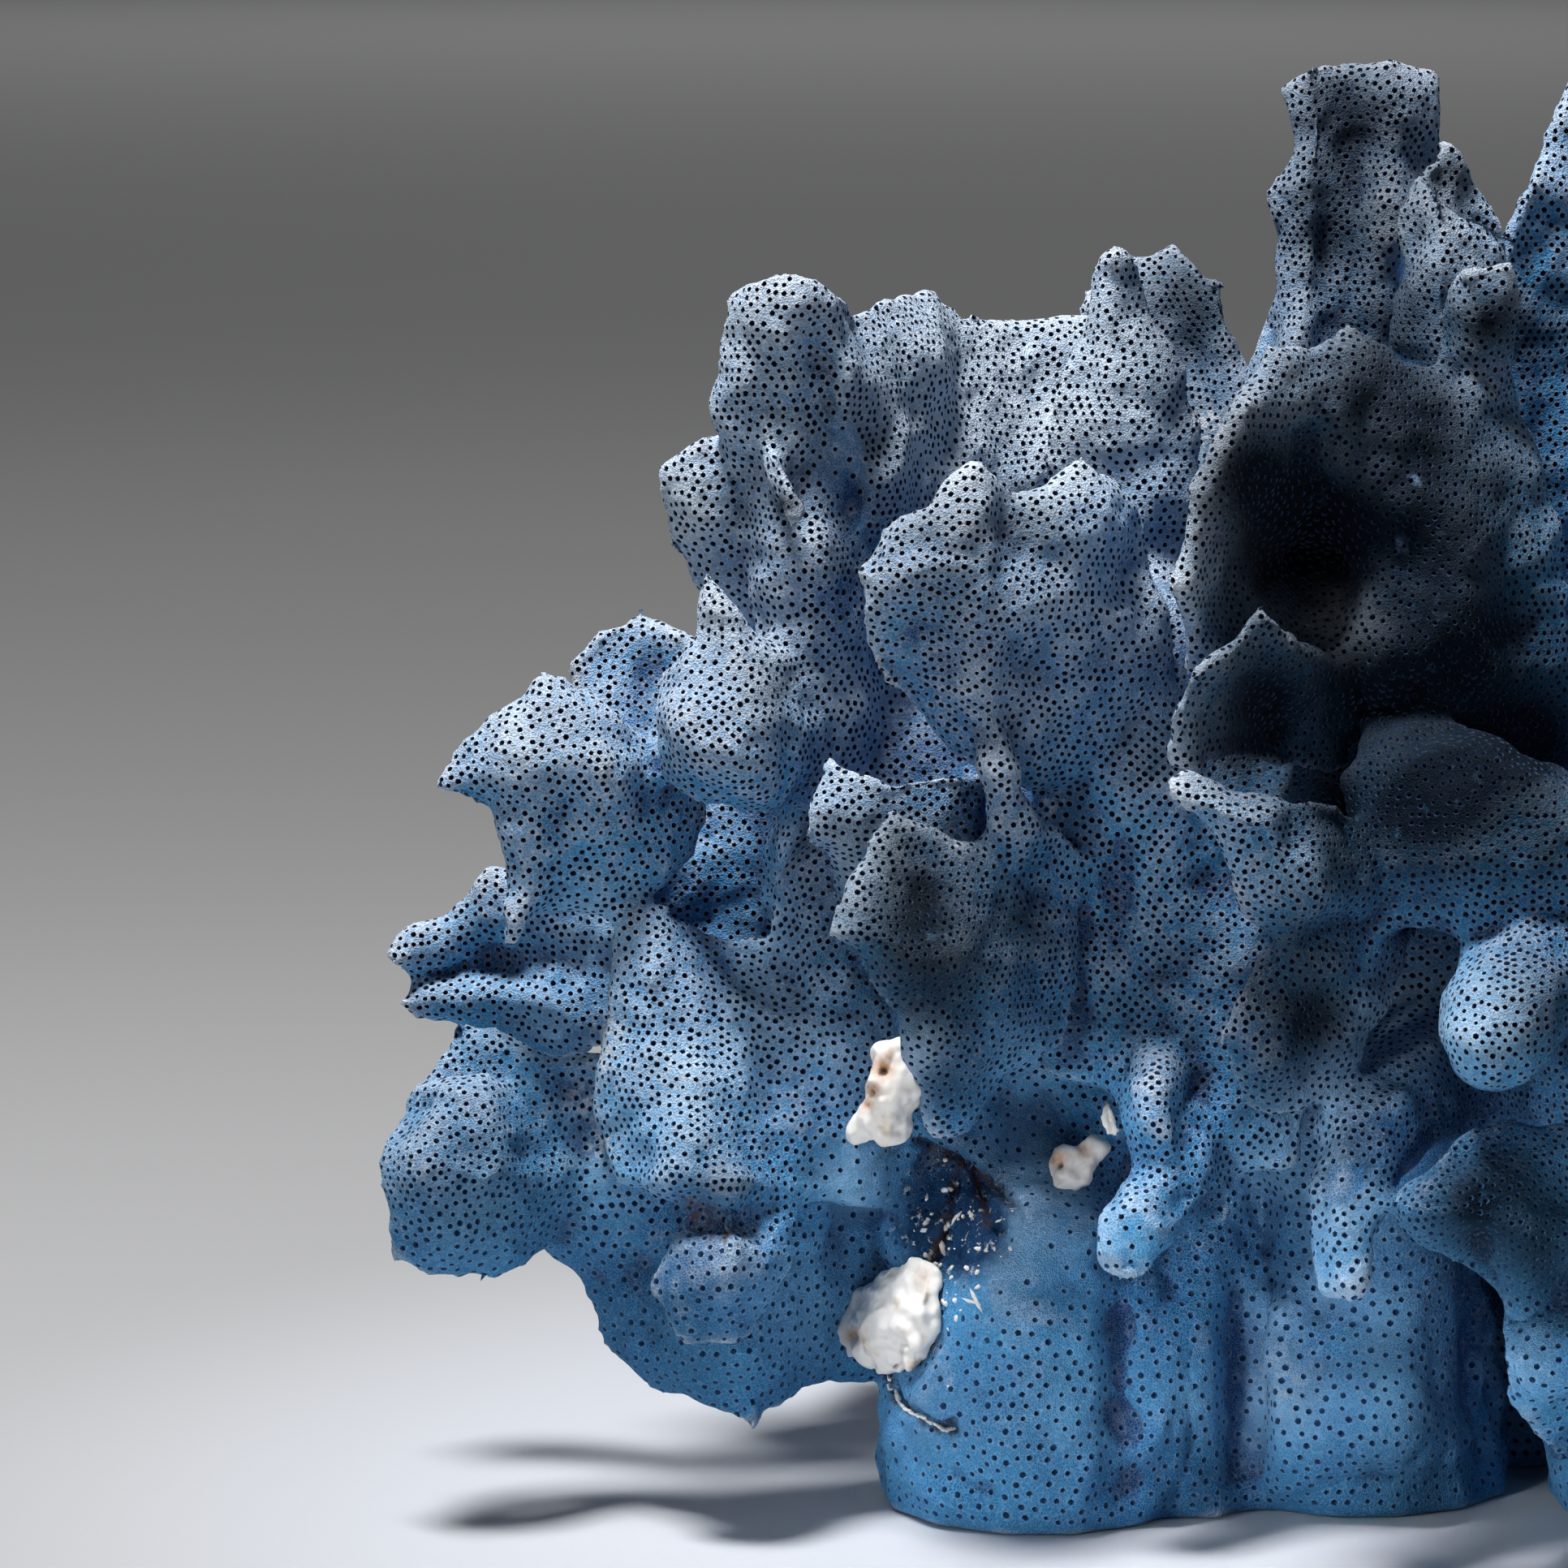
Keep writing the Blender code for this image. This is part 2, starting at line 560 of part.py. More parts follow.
            ((10.4, 152, -18), (15, 152, -22), (20, 152, -18)),
            ((11, 161, -19), (15, 161, -25), (19.6, 161, -22)),
            ((11, 166.4, -20), (13.4, 168.8, -26), (18, 169, -25)),
        ),
        "free": ("left", "top", "right"),
        "stout": 6.0,
        "rim": 2.4,
    },
    "right_crown": {
        "rows": (
            ((14, 108, 8), (26, 106, 10), (38, 106, 10), (50, 106, 8), (60, 108, 4)),
            ((18.5, 134, 13), (28, 134, 18), (40, 134, 20), (52, 134, 16), (63, 134, 8)),
            ((19.5, 157, 16), (29, 160, 22), (41, 160, 26), (53, 160, 20), (64, 158, 10)),
            ((18.7, 173, 16), (29, 180, 24), (41, 182, 28), (53, 180, 22), (62, 172, 12)),
            ((21.5, 180, 17), (29.5, 196, 24), (42, 202, 28), (52, 194, 24), (59, 181, 15)),
        ),
        "free": ("left", "top", "right"),
    },
    "large_front_sheet": {
        "rows": (
            (
                (-22, 108, -34), (-17, 106, -26), (-10, 104, -20), (-3, 103, -21), (6, 102, -26),
                (15, 100, -27), (25, 98, -22),
            ),
            (
                (-25, 116.3, -46), (-19, 118, -38), (-11, 117, -33), (-3, 117, -31), (6, 116, -36),
                (16, 114, -34), (28, 112, -26),
            ),
            (
                (-27.5, 125, -51), (-20, 128, -35), (-12, 129, -20), (-4, 129, -20), (5, 128, -34),
                (15, 128, -34), (26.5, 126, -24),
            ),
            (
                (-23.3, 139, -50), (-17.5, 139, -40), (-10, 140, -30), (-2, 140, -33), (6, 140, -35),
                (14, 141, -30), (22, 139, -20),
            ),
            (
                (-18.2, 148.5, -48), (-13, 150, -41), (-7, 151, -37), (0, 151, -34), (7, 150, -29),
                (14, 151, -21), (20.6, 150, -15),
            ),
            (
                (-15, 153.5, -42), (-14, 159.3, -40), (-8.5, 158.7, -34), (-2.5, 161.4, -30), (3.5, 156.5, -25),
                (10, 154, -20), (18.5, 156, -14),
            ),
        ),
        "free": ("left", "top", "right"),
    },
    "ruffled_lobe": {
        "rows": (
            ((-25, 101.7, -51), (-20, 102, -43), (-13, 101, -37), (-4, 100, -28)),
            ((-26.5, 107, -54), (-20, 107, -42), (-13, 107, -36), (-4, 107, -29)),
            ((-24, 113.5, -55), (-18, 113, -44), (-12.5, 112, -38), (-4, 111, -31)),
            ((-20.5, 117.6, -53), (-15, 122.5, -51), (-11.3, 118.7, -48), (-5, 115.5, -36)),
        ),
        "free": ("left", "top", "bottom"),
        "stout": 6.0,
    },
    "pointed_lobe": {
        "rows": (
            ((-25.6, 98.3, -55), (-21.5, 91, -56), (-17.5, 83.5, -55), (-13.5, 76.3, -51), (-3, 76, -38)),
            ((-25.4, 99.3, -55), (-19, 94, -58), (-13, 89.5, -59), (-7, 84.5, -56), (2, 84, -41)),
            ((-24.6, 100.2, -54), (-18, 96.8, -55), (-12, 95.6, -54), (-5, 94.5, -50), (4, 93, -37)),
        ),
        "free": ("left", "bottom", "top"),
        "stout": 8.0,
        "rim": 3.0,
    },
    "lower_dark_lobe": {
        "rows": (
            ((-15.5, 56, -46), (-12, 54.2, -46), (-7, 56, -44), (-4.5, 57.5, -42)),
            ((-20.5, 64.5, -50), (-12.5, 63, -51), (-6.5, 63, -47), (-2, 64.5, -42)),
            ((-19, 69.8, -50), (-11.5, 69, -51), (-5, 69, -46), (1, 70, -40)),
            ((-14.5, 77, -46), (-9, 78, -48), (-2, 78, -42), (5, 80, -34)),
        ),
        "free": ("left", "bottom"),
        "stout": 6.0,
    },
    "arch_front": {
        "rows": (
            ((-5, 78.5, -38), (4, 79.5, -44), (12, 79, -46), (20, 76, -46), (28, 67, -44), (39, 58, -38)),
            ((-3, 88, -40), (6, 90, -47), (14, 90, -51), (22, 88, -51), (31, 86, -49), (43, 82, -40)),
            ((0, 98, -36), (7, 101, -42), (15, 100, -46), (22, 96.5, -48), (30, 94, -46), (43, 92, -36)),
            ((2, 108, -26), (8, 109, -33), (14, 105, -38), (20, 99.2, -42), (28, 97, -40), (41, 98, -30)),
        ),
        "free": ("bottom", "top"),
        "stout": 9.0,
        "rim": 4.5,
    },
    "right_arm": {
        "rows": (
            ((3, 40.3, -54), (9, 36, -55), (16, 31.8, -54), (20, 26, -50), (22, 14, -42), (26, 7, -36)),
            ((2.8, 41.8, -56), (9, 41, -60), (17, 40, -60), (25, 36, -56), (31, 26, -48), (34, 18, -40)),
            ((3.8, 43.2, -54), (9, 47, -54), (17, 51, -50), (27, 51, -46), (36, 44, -40), (40, 36, -34)),
        ),
        "free": ("left", "bottom"),
        "stout": 11.0,
        "rim": 5.0,
    },
    "knob_lobe": {
        "rows": (
            ((-31, 43, -31), (-26, 38.6, -31), (-20, 39.5, -29)),
            ((-34, 50, -30), (-28, 48, -34), (-20.5, 48, -26)),
            ((-35.5, 58, -22), (-28, 60, -22), (-20, 62, -14)),
        ),
        "free": ("left", "bottom", "right"),
        "stout": 8.0,
        "rim": 4.0,
    },
}

# Round limbs and knobs, each as drawn stations (u, v, depth, radius).
LIMBS = {
    "upper_left_knob": ((-78, 106, -12, 5.0), (-85, 113, -18, 5.5), (-90, 121, -20, 4.2), (-91, 125, -19, 2.6)),
    "spike_tip": ((-48.6, 86, -28, 3.8), (-50, 92.5, -33, 3.2), (-51.3, 99, -34.5, 2.5), (-51.8, 105, -34, 1.6)),
    "nose_tip": ((-84, 58, -12, 10.0), (-90, 51.5, -21, 8.4), (-92.6, 47, -26, 6.2)),
    "broken_stub": ((-84.5, 147.5, -14, 1.9), (-82.4, 142, -20, 2.1), (-79.8, 136.8, -23, 1.8)),
    "frond_tail": ((-110, 92, -16, 4.6), (-115.4, 86.5, -18, 3.2), (-117.6, 80.8, -19, 2.3), (-118.8, 77.2, -19, 1.5)),
    "blunt_nodule": ((30, 82, -34, 9.0), (23, 74, -46, 9.2), (18.2, 67, -55, 8.6), (16.8, 64.6, -58, 7.6)),
    "hanging_finger": ((8, 60, -26, 9.0), (0, 51, -42, 7.5), (-4, 42, -51, 5.6), (-4.7, 32.5, -53, 3.4)),
    "right_knob": ((42, 38, -34, 11.0), (34, 26, -46, 9.5), (28, 20, -53, 8.0)),
    "knob_nose": ((-27, 62, -20, 5.0), (-29.4, 56, -31, 3.2), (-28.6, 50.5, -34, 2.7), (-27.4, 46.8, -34, 2.1)),
    "finger_tip": ((-22, 50, -20, 6.0), (-28, 42, -34, 5.6), (-33, 36, -39, 4.8), (-34, 33.5, -40, 3.8)),
    "small_light_lobe": ((-2, 80, -42, 3.0), (-8.2, 74.4, -50, 2.4)),
    "back_knob": ((-22, 136, 4, 4.0), (-22.3, 146.5, 9, 2.6)),
    "back_blue_lobe": ((-86, 118, -2, 4.0), (-93.5, 125, -2, 3.0)),
}

# The shells that other animals left on the coral, as drawn stations.
SHELL_LIMBS = {
    "tube_shell": ((-69.5, 51.7, -29, 2.0), (-66.3, 52.6, -32, 3.5), (-65.2, 57.5, -33, 3.6), (-66.0, 61.5, -32, 2.5)),
    "gap_shell": ((-42.5, 43.8, -15, 1.5), (-41.2, 46.3, -14, 2.5), (-37.8, 48.3, -14, 1.4)),
    "edge_shell": ((-35.6, 56, -22, 0.7), (-36.2, 53, -23, 0.9), (-35, 49.6, -25, 1.0), (-31.9, 46.8, -27, 0.8)),
}
CRUST = {
    "rows": (
        ((-70.6, 20.4, -4), (-66.3, 18.3, -12), (-61.8, 19, -20)),
        ((-71.7, 24, -4), (-66.5, 24, -14), (-60.8, 24.5, -21.5)),
        ((-69.5, 28.6, -5), (-65.2, 29, -14), (-60.3, 29, -20.5)),
        ((-64.6, 32.8, -6), (-62.5, 33.2, -12), (-60.2, 32, -18)),
    ),
    "free": ("left", "right", "top", "bottom"),
    "stout": 5.0,
    "rim": 2.2,
}

# Where two shapes grow into one branch.
GROWN_TOGETHER = {
    "center_spike": ("spike_tip",),
    "middle_left_lobe": ("upper_left_knob",),
    "left_curl": ("left_top_lobe",),
    "left_frond": ("frond_tail",),
    "right_arm": ("right_knob",),
    "knob_lobe": ("knob_nose", "finger_tip"),
    "pointed_lobe": ("small_light_lobe",),
    "tallest_frond": ("back_knob",),
    "left_crown": ("back_blue_lobe", "broken_stub"),
    "large_front_sheet": ("twisted_fold",),
    "left_branch": ("left_nose", "nose_tip"),
}

# The far sides repeat the kinds of fronds of the near side. Each is turned about
# the upright axis by an angle in degrees, scaled, and centred on (x, y, z) in mm.
FAR_SIDE = {
    "rear_crown": ("left_crown", 190, (0.95, 1.0, 0.95), (62, 24, 140)),
    "right_branch": ("left_branch", 180, (1.0, 1.0, 0.95), (90, 0, 62)),
    "right_hanging_plate": ("left_hanging_plate", 168, (0.95, 1.0, 0.9), (86, 6, 36)),
    "right_curl": ("left_curl", 172, (0.9, 1.0, 1.0), (114, 20, 50)),
    "right_frond": ("left_frond", 166, (0.95, 1.0, 1.0), (102, 12, 100)),
    "right_front_frond": ("left_frond", 142, (0.95, 1.1, 0.9), (81, -16, 86)),
    "right_lobe": ("middle_left_lobe", 150, (1.2, 1.1, 1.1), (86, -10, 112)),
    "right_upper_lobe": ("upper_left_lobe", 180, (1.1, 1.0, 1.0), (86, 12, 130)),
    "right_front_fan": ("center_fan", 8, (-1.0, 1.0, 0.95), (52, -24, 122)),
    "right_front_leaf": ("dark_front_frond", 20, (-1.1, 1.0, 1.05), (64, -36, 70)),
    "right_low_plate": ("left_hanging_plate", 128, (0.85, 1.0, 0.9), (66, -28, 36)),
    "rear_large_sheet": ("large_front_sheet", 184, (1.05, 1.0, 0.95), (14, 44, 124)),
    "rear_fan": ("center_fan", 205, (1.1, 1.0, 1.05), (-16, 54, 108)),
    "rear_arch": ("arch_front", 178, (1.05, 1.0, 0.9), (16, 52, 80)),
    "rear_dark_frond": ("dark_front_frond", 214, (1.15, 1.0, 1.1), (56, 44, 80)),
    "rear_arm": ("right_arm", 186, (1.1, 1.0, 1.0), (-8, 52, 34)),
    "rear_hanging_plate": ("left_hanging_plate", 222, (0.95, 1.1, 0.95), (54, 40, 38)),
    "rear_left_branch": ("left_branch", 306, (1.0, 1.0, 0.95), (-62, 42, 60)),
    "rear_left_frond": ("left_frond", 318, (1.0, 1.1, 1.0), (-66, 36, 98)),
    "rear_left_plate": ("left_hanging_plate", 300, (0.9, 1.0, 0.85), (-58, 42, 32)),
    "rear_curl": ("left_curl", 250, (0.9, 1.0, 1.0), (28, 60, 58)),
    "rear_middle_frond": ("left_frond", 262, (1.0, 1.0, 1.1), (-36, 58, 76)),
    "rear_middle_leaf": ("dark_front_frond", 200, (1.1, 1.0, 1.0), (-30, 56, 40)),
    "rear_left_fan": ("center_fan", 150, (1.0, 1.0, 1.0), (-74, 26, 82)),
}


def turned(rows, degrees, scale, centre):
    """Rows of drawn points, turned about the upright axis and moved to another side."""
    turn = Matrix.Rotation(math.radians(degrees), 4, "Z") @ Matrix.Diagonal((*scale, 1))
    moved = [[turn @ point for point in row] for row in drawn(rows)]
    places = [point for row in moved for point in row]
    middle = [(min(p[i] for p in places) + max(p[i] for p in places)) / 2 for i in range(3)]
    shift = Vector(centre) - Vector(middle)
    return [[point + shift for point in row] for row in moved]


def sheet_of(shape, rows):
    return sheet(rows, shape["free"], shape.get("stout", STOUT), shape.get("rim", RIM))


def branch_shapes():
    """Every branch as it would be if no other stood in its way, the largest first."""
    lumps = [lump(rings) for rings in TRUNK_LUMPS]
    shapes = {"trunk": cut_at_ground(combined(lumps[0], lumps[1:], "UNION"))}
    tips = {name: limb(stations, True) for name, stations in LIMBS.items()}
    for name, shape in SHEETS.items():
        shapes[name] = sheet_of(shape, drawn(shape["rows"]))
    for name, (source, degrees, scale, shift) in FAR_SIDE.items():
        shape = SHEETS[source]
        shapes[name] = sheet_of(shape, turned(shape["rows"], degrees, scale, shift))
    shapes.update(tips)
    for name, parts in GROWN_TOGETHER.items():
        shapes[name] = combined(shapes[name], [shapes.pop(part) for part in parts], "UNION")
    return shapes


def shell_shapes():
    shapes = {name: limb(stations, True) for name, stations in SHELL_LIMBS.items()}
    shapes["white_crust"] = sheet_of(CRUST, drawn(CRUST["rows"]))
    return shapes


def walls_cross(mesh):
    """Whether a face runs through another that it shares no corner with."""
    corners = [set(face.vertices) for face in mesh.polygons]
    tree = BVHTree.FromPolygons([vert.co for vert in mesh.vertices], [face.vertices for face in mesh.polygons])
    return any(not corners[one] & corners[two] for one, two in tree.overlap(tree) if one < two)


def without_slivers(mesh):
    """Joins faces that lie almost in one plane and draws in short edges, where cuts have left them."""
    for shortest in (SHORTEST, SHORTEST / 2, WELD):
        made = mesh.copy()
        bm = bmesh.new()
        bm.from_mesh(made)
        bmesh.ops.dissolve_limit(bm, angle_limit=NEARLY_FLAT, verts=bm.verts, edges=bm.edges)
        bmesh.ops.dissolve_degenerate(bm, dist=shortest, edges=bm.edges)
        keep_largest(bm)
        bmesh.ops.triangulate(bm, faces=bm.faces)
        bm.to_mesh(made)
        bm.free()
        if is_closed(made) and not walls_cross(made):
            break
    return made


def place(name, mesh, finish, collection):
    mesh.name = name
    mesh.materials.clear()
    mesh.materials.append(finish)
    mesh.shade_smooth()
    mesh.set_sharp_from_angle(angle=math.radians(50))
    collection.objects.link(bpy.data.objects.new(name, mesh))


def main():
    clear_scene()
    coral = new_collection("blue_ridge_coral")
    finishes = {
        "coral": material("coral_skeleton", CORAL_BLUE, 0.9),
        "shell": material("shell", SHELL_CREAM, 0.7),
    }
    shells = shell_shapes()
    wholes = {**branch_shapes(), **shells}
    standing = []
    for name, whole in wholes.items():
        box = box_of(whole)
        near = [cutter for other, cutter in standing if boxes_meet(box, other)]
        cutter = grown(whole, GAP)
        mesh = combined(whole, near, "DIFFERENCE")
        standing.append((box_of(cutter), cutter))
        finish = finishes["shell" if name in shells else "coral"]
        place(name, without_slivers(mesh), finish, coral)


main()
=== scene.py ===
# Blue ridge coral skeleton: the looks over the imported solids. Metres, +Z up.
import math
import random

import bmesh
import bpy
import numpy as np
from mathutils import Matrix, Vector, noise
from mathutils.bvhtree import BVHTree
from mathutils.kdtree import KDTree


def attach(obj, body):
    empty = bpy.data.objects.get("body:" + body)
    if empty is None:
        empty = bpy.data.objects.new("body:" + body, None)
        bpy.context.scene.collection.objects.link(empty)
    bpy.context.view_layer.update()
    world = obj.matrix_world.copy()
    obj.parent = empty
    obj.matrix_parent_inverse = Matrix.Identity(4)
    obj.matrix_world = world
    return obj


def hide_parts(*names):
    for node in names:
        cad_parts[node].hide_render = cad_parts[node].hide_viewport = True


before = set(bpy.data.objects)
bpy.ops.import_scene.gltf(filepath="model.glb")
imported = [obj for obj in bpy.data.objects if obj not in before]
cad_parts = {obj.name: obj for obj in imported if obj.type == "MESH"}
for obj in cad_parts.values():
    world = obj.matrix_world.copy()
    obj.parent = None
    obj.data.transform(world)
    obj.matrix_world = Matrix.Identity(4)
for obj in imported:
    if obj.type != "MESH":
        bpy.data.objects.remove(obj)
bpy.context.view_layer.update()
mm = 0.001
random.seed(11)
noise.seed_set(11)
scene = bpy.context.scene
scene.view_settings.view_transform = "Standard"  # keeps the blues as strong as in the photograph


# Camera: 1 m off and a little above the coral, as the photograph sees it.
cameraLook = {
    "tilt": math.radians(8),
    "distance": 1000 * mm,
    "aim": Vector((-80.44, 0, 99.41)) * mm,
    "aimDrawn": (-80.44, 98.44),  # the same point across and up in the photograph, mm
    "sensor": 36.0,
    "lens": 167.7,
    "nearest": 50 * mm,
}
viewBack = Vector((0, -math.cos(cameraLook["tilt"]), math.sin(cameraLook["tilt"])))
viewUp = Vector((0, math.sin(cameraLook["tilt"]), math.cos(cameraLook["tilt"])))
eye = cameraLook["aim"] + viewBack * cameraLook["distance"]


def placed(name, data):
    item = bpy.data.objects.new(name, data)
    scene.collection.objects.link(item)
    return item


def makeCamera():
    data = bpy.data.cameras.new("camera")
    data.sensor_width = cameraLook["sensor"]
    data.lens = cameraLook["lens"]
    data.clip_start = cameraLook["nearest"]
    scene.camera = placed("camera", data)
    scene.camera.location = eye
    scene.camera.rotation_euler = (math.pi / 2 - cameraLook["tilt"], 0, 0)


def drawnPoint(u, v):  # a point across and up in the photograph, on the plane through the aim
    across = (u - cameraLook["aimDrawn"][0]) * mm
    up = (v - cameraLook["aimDrawn"][1]) * mm
    return cameraLook["aim"] + Vector((across, 0, 0)) + viewUp * up


def drawnPlaces(points):  # where points are seen in the photograph, across and up, in mm
    away = points - np.array(eye)
    scale = cameraLook["distance"] / mm / (away @ -np.array(viewBack))
    across = away[:, 0] * scale + cameraLook["aimDrawn"][0]
    up = away @ np.array(viewUp) * scale + cameraLook["aimDrawn"][1]
    return np.stack([across, up], 1)


def facing(normals, whole):  # 0 turned away from the camera, 1 from this squareness on
    return eased(normals @ np.array(viewBack), 0, whole)


def nearness(places, across, up, reach):  # 1 in the middle of a round spot, falling off softly
    return np.exp(-((places - (across, up)) ** 2).sum(1) / reach ** 2)


makeCamera()
print("camera placed")


# The skin: every coral node in one surface, whose branches flow into each other.
shellNodes = ("tube_shell", "gap_shell", "edge_shell", "white_crust")
coralNodes = sorted(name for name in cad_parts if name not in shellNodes)
skinLook = {
    "grain": 0.9 * mm,  # size of the surface's cells
    "swell": 0.35 * mm,  # closes the gaps between neighbouring branches
    "softPasses": 4,
    "flatPasses": 12,
    "lookPasses": 22,  # how widely a point is compared with its surroundings
    "rim": (0.45, 1.15),  # how far a point stands out, mm: rim begins, is whole
    "rimThinner": 0.8 * mm,
    "rimWider": 0.5 * mm,
    "rimSpreadPasses": 4,  # how far round a rim the frond is thinned
    "rimSpread": (0.1, 0.6),
    "crease": (0.25, 0.95),  # how far a point lies in, mm: crease begins, is whole
    "creaseDeeper": 1.1 * mm,
    "creaseKept": 0.75,  # share of a crease that smoothing leaves alone
    "softStep": 0.6,  # how far one pass moves a point to the middle of its neighbours
    "standPasses": 24,
    "upwardPasses": 6,
    "stillFoot": (0.5 * mm, 8 * mm),  # no change below, all of it above, so the cut stays flat
    "roughFoot": (0.2 * mm, 6 * mm),
    "foldFoot": (0.5 * mm, 6 * mm),
    "warps": ((30, 1.6), (13, 1.4)),  # size and height, mm
    "lumps": ((14, 1.3), (7, 1.15), (3.4, 0.5), (1.8, 0.16)),
    "ragged": ((6.5, 1.2), (2.8, 0.7), (1.4, 0.3)),
}


def meshFrom(bm, name):
    mesh = bpy.data.meshes.new(name)
    bm.to_mesh(mesh)
    bm.free()
    return mesh


def nodeCopies(names):
    joined = bmesh.new()
    for name in names:
        one = bmesh.new()
        one.from_mesh(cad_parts[name].data)
        bmesh.ops.remove_doubles(one, verts=one.verts, dist=0.001 * mm)
        one.normal_update()
        for vert in one.verts:
            vert.co += vert.normal * skinLook["swell"]
        copy = meshFrom(one, name + "Copy")
        joined.from_mesh(copy)
        bpy.data.meshes.remove(copy)
    return meshFrom(joined, "joined")


def applied(item):  # the mesh that the item's modifiers make of it
    bpy.context.view_layer.update()
    graph = bpy.context.evaluated_depsgraph_get()
    made = bpy.data.meshes.new_from_object(item.evaluated_get(graph))
    bpy.data.objects.remove(item)
    return made


def remeshed(mesh, size):
    item = placed("remeshing", mesh)
    modifier = item.modifiers.new("remesh", "REMESH")
    modifier.mode = "VOXEL"
    modifier.voxel_size = size
    return applied(item)


def rows(things, name, width, kind=np.float32):  # one row of numbers for each thing in a mesh
    values = np.empty(len(things) * width, kind)
    things.foreach_get(name, values)
    return values.reshape(-1, width)


def pointsOf(mesh):
    return rows(mesh.vertices, "co", 3).astype(float)


def putPoints(mesh, points):
    mesh.vertices.foreach_set("co", points.astype(np.float32).ravel())
    mesh.update()


def normalsOf(mesh):
    return rows(mesh.vertex_normals, "vector", 3).astype(float)


def edgesOf(mesh):
    return rows(mesh.edges, "vertices", 2, np.int32)


def along(one, two):  # row by row dot product
    return np.einsum("ij,ij->i", one, two)


def eased(values, low, high):  # 0 below low, 1 above high, smooth between
    share = np.clip((values - low) / (high - low), 0, 1)
    return share * share * (3 - 2 * share)


def meanOfNeighbours(values, edges):
    count = np.maximum(np.bincount(edges.ravel(), minlength=len(values)), 1)
    columns = []
    for column in values.reshape(len(values), -1).T:
        total = np.bincount(edges[:, 0], weights=column[edges[:, 1]], minlength=len(values))
        total += np.bincount(edges[:, 1], weights=column[edges[:, 0]], minlength=len(values))
        columns.append(total / count)
    return np.stack(columns, 1).reshape(values.shape)


def softened(points, edges, passes, weight=1.0):
    weight = np.broadcast_to(np.asarray(weight, float), (len(points),))[:, None]
    for _ in range(passes):
        points = points + (meanOfNeighbours(points, edges) - points) * skinLook["softStep"] * weight
    return points


def opened(mesh):
    bm = bmesh.new()
    bm.from_mesh(mesh)
    return bm


def treeOf(mesh):
    return BVHTree.FromPolygons([v.co for v in mesh.vertices], [p.vertices for p in mesh.polygons])


def triangulate(mesh):
    bm = opened(mesh)
    bmesh.ops.triangulate(bm, faces=bm.faces)
    bm.to_mesh(mesh)
    bm.free()


def noiseAt(points, size, seed=0.0, kind=noise.noise):
    shift = Vector((seed, seed * 2, seed * 3))
    return np.array([kind(Vector(point) / (size * mm) + shift) for point in points])


def standOut(points, normals, edges, passes):  # how far each point stands out of its surroundings, mm
    return along(points - softened(points, edges, passes), normals) / mm


def makeSkin():
    mesh = remeshed(nodeCopies(coralNodes), skinLook["grain"])
    edges = edgesOf(mesh)
    points = softened(pointsOf(mesh), edges, skinLook["softPasses"])
    putPoints(mesh, points)
    normals = normalsOf(mesh)
    out = standOut(points, normals, edges, skinLook["lookPasses"])
    rim = eased(out, *skinLook["rim"])
    crease = eased(-out, *skinLook["crease"])
    flat = (1 - rim) * (1 - skinLook["creaseKept"] * crease)
    points = softened(points, edges, skinLook["flatPasses"], flat)
    wide = rim
    for _ in range(skinLook["rimSpreadPasses"]):
        wide = np.maximum(wide, meanOfNeighbours(wide, edges))
    wide = eased(wide, *skinLook["rimSpread"])
    above = eased(points[:, 2], *skinLook["stillFoot"])
    outward = points - softened(points, edges, skinLook["lookPasses"])
    outward = meanOfNeighbours(outward, edges)
    outward /= np.maximum(np.linalg.norm(outward, axis=1), 0.01 * mm)[:, None]
    sideways = normals - outward * along(normals, outward)[:, None]
    points = points - sideways * (wide * above * skinLook["rimThinner"])[:, None]
    points = points + outward * (rim * above * skinLook["rimWider"])[:, None]
    points = points - normals * (crease * above * skinLook["creaseDeeper"])[:, None]
    points = softened(points, edges, 2, 0.5)
    putPoints(mesh, points)
    print("skin made:", len(mesh.vertices), "points")
    return mesh, points, edges, rim


skin, points, edges, rim = makeSkin()


# Warps bend the fronds, lumps swell them and ragged noise frays their rims. Sizes and heights in mm.
def roughen(mesh, points, rim):
    above = eased(points[:, 2], *skinLook["roughFoot"])[:, None]
    for size, height in skinLook["warps"]:
        points = points + noiseAt(points, size, kind=noise.noise_vector) * above * height * mm
    putPoints(mesh, points)
    normals = normalsOf(mesh)
    swell = np.zeros(len(points))
    for size, height in skinLook["lumps"]:
        swell += noiseAt(points, size, seed=2.0) * height * mm
    points = points + normals * (swell * above[:, 0])[:, None]
    for size, height in skinLook["ragged"]:
        frayed = noiseAt(points, size, seed=5.0, kind=noise.noise_vector)
        points = points + frayed * (rim[:, None] * above * height * mm)
    putPoints(mesh, points)
    return points


points = roughen(skin, points, rim)


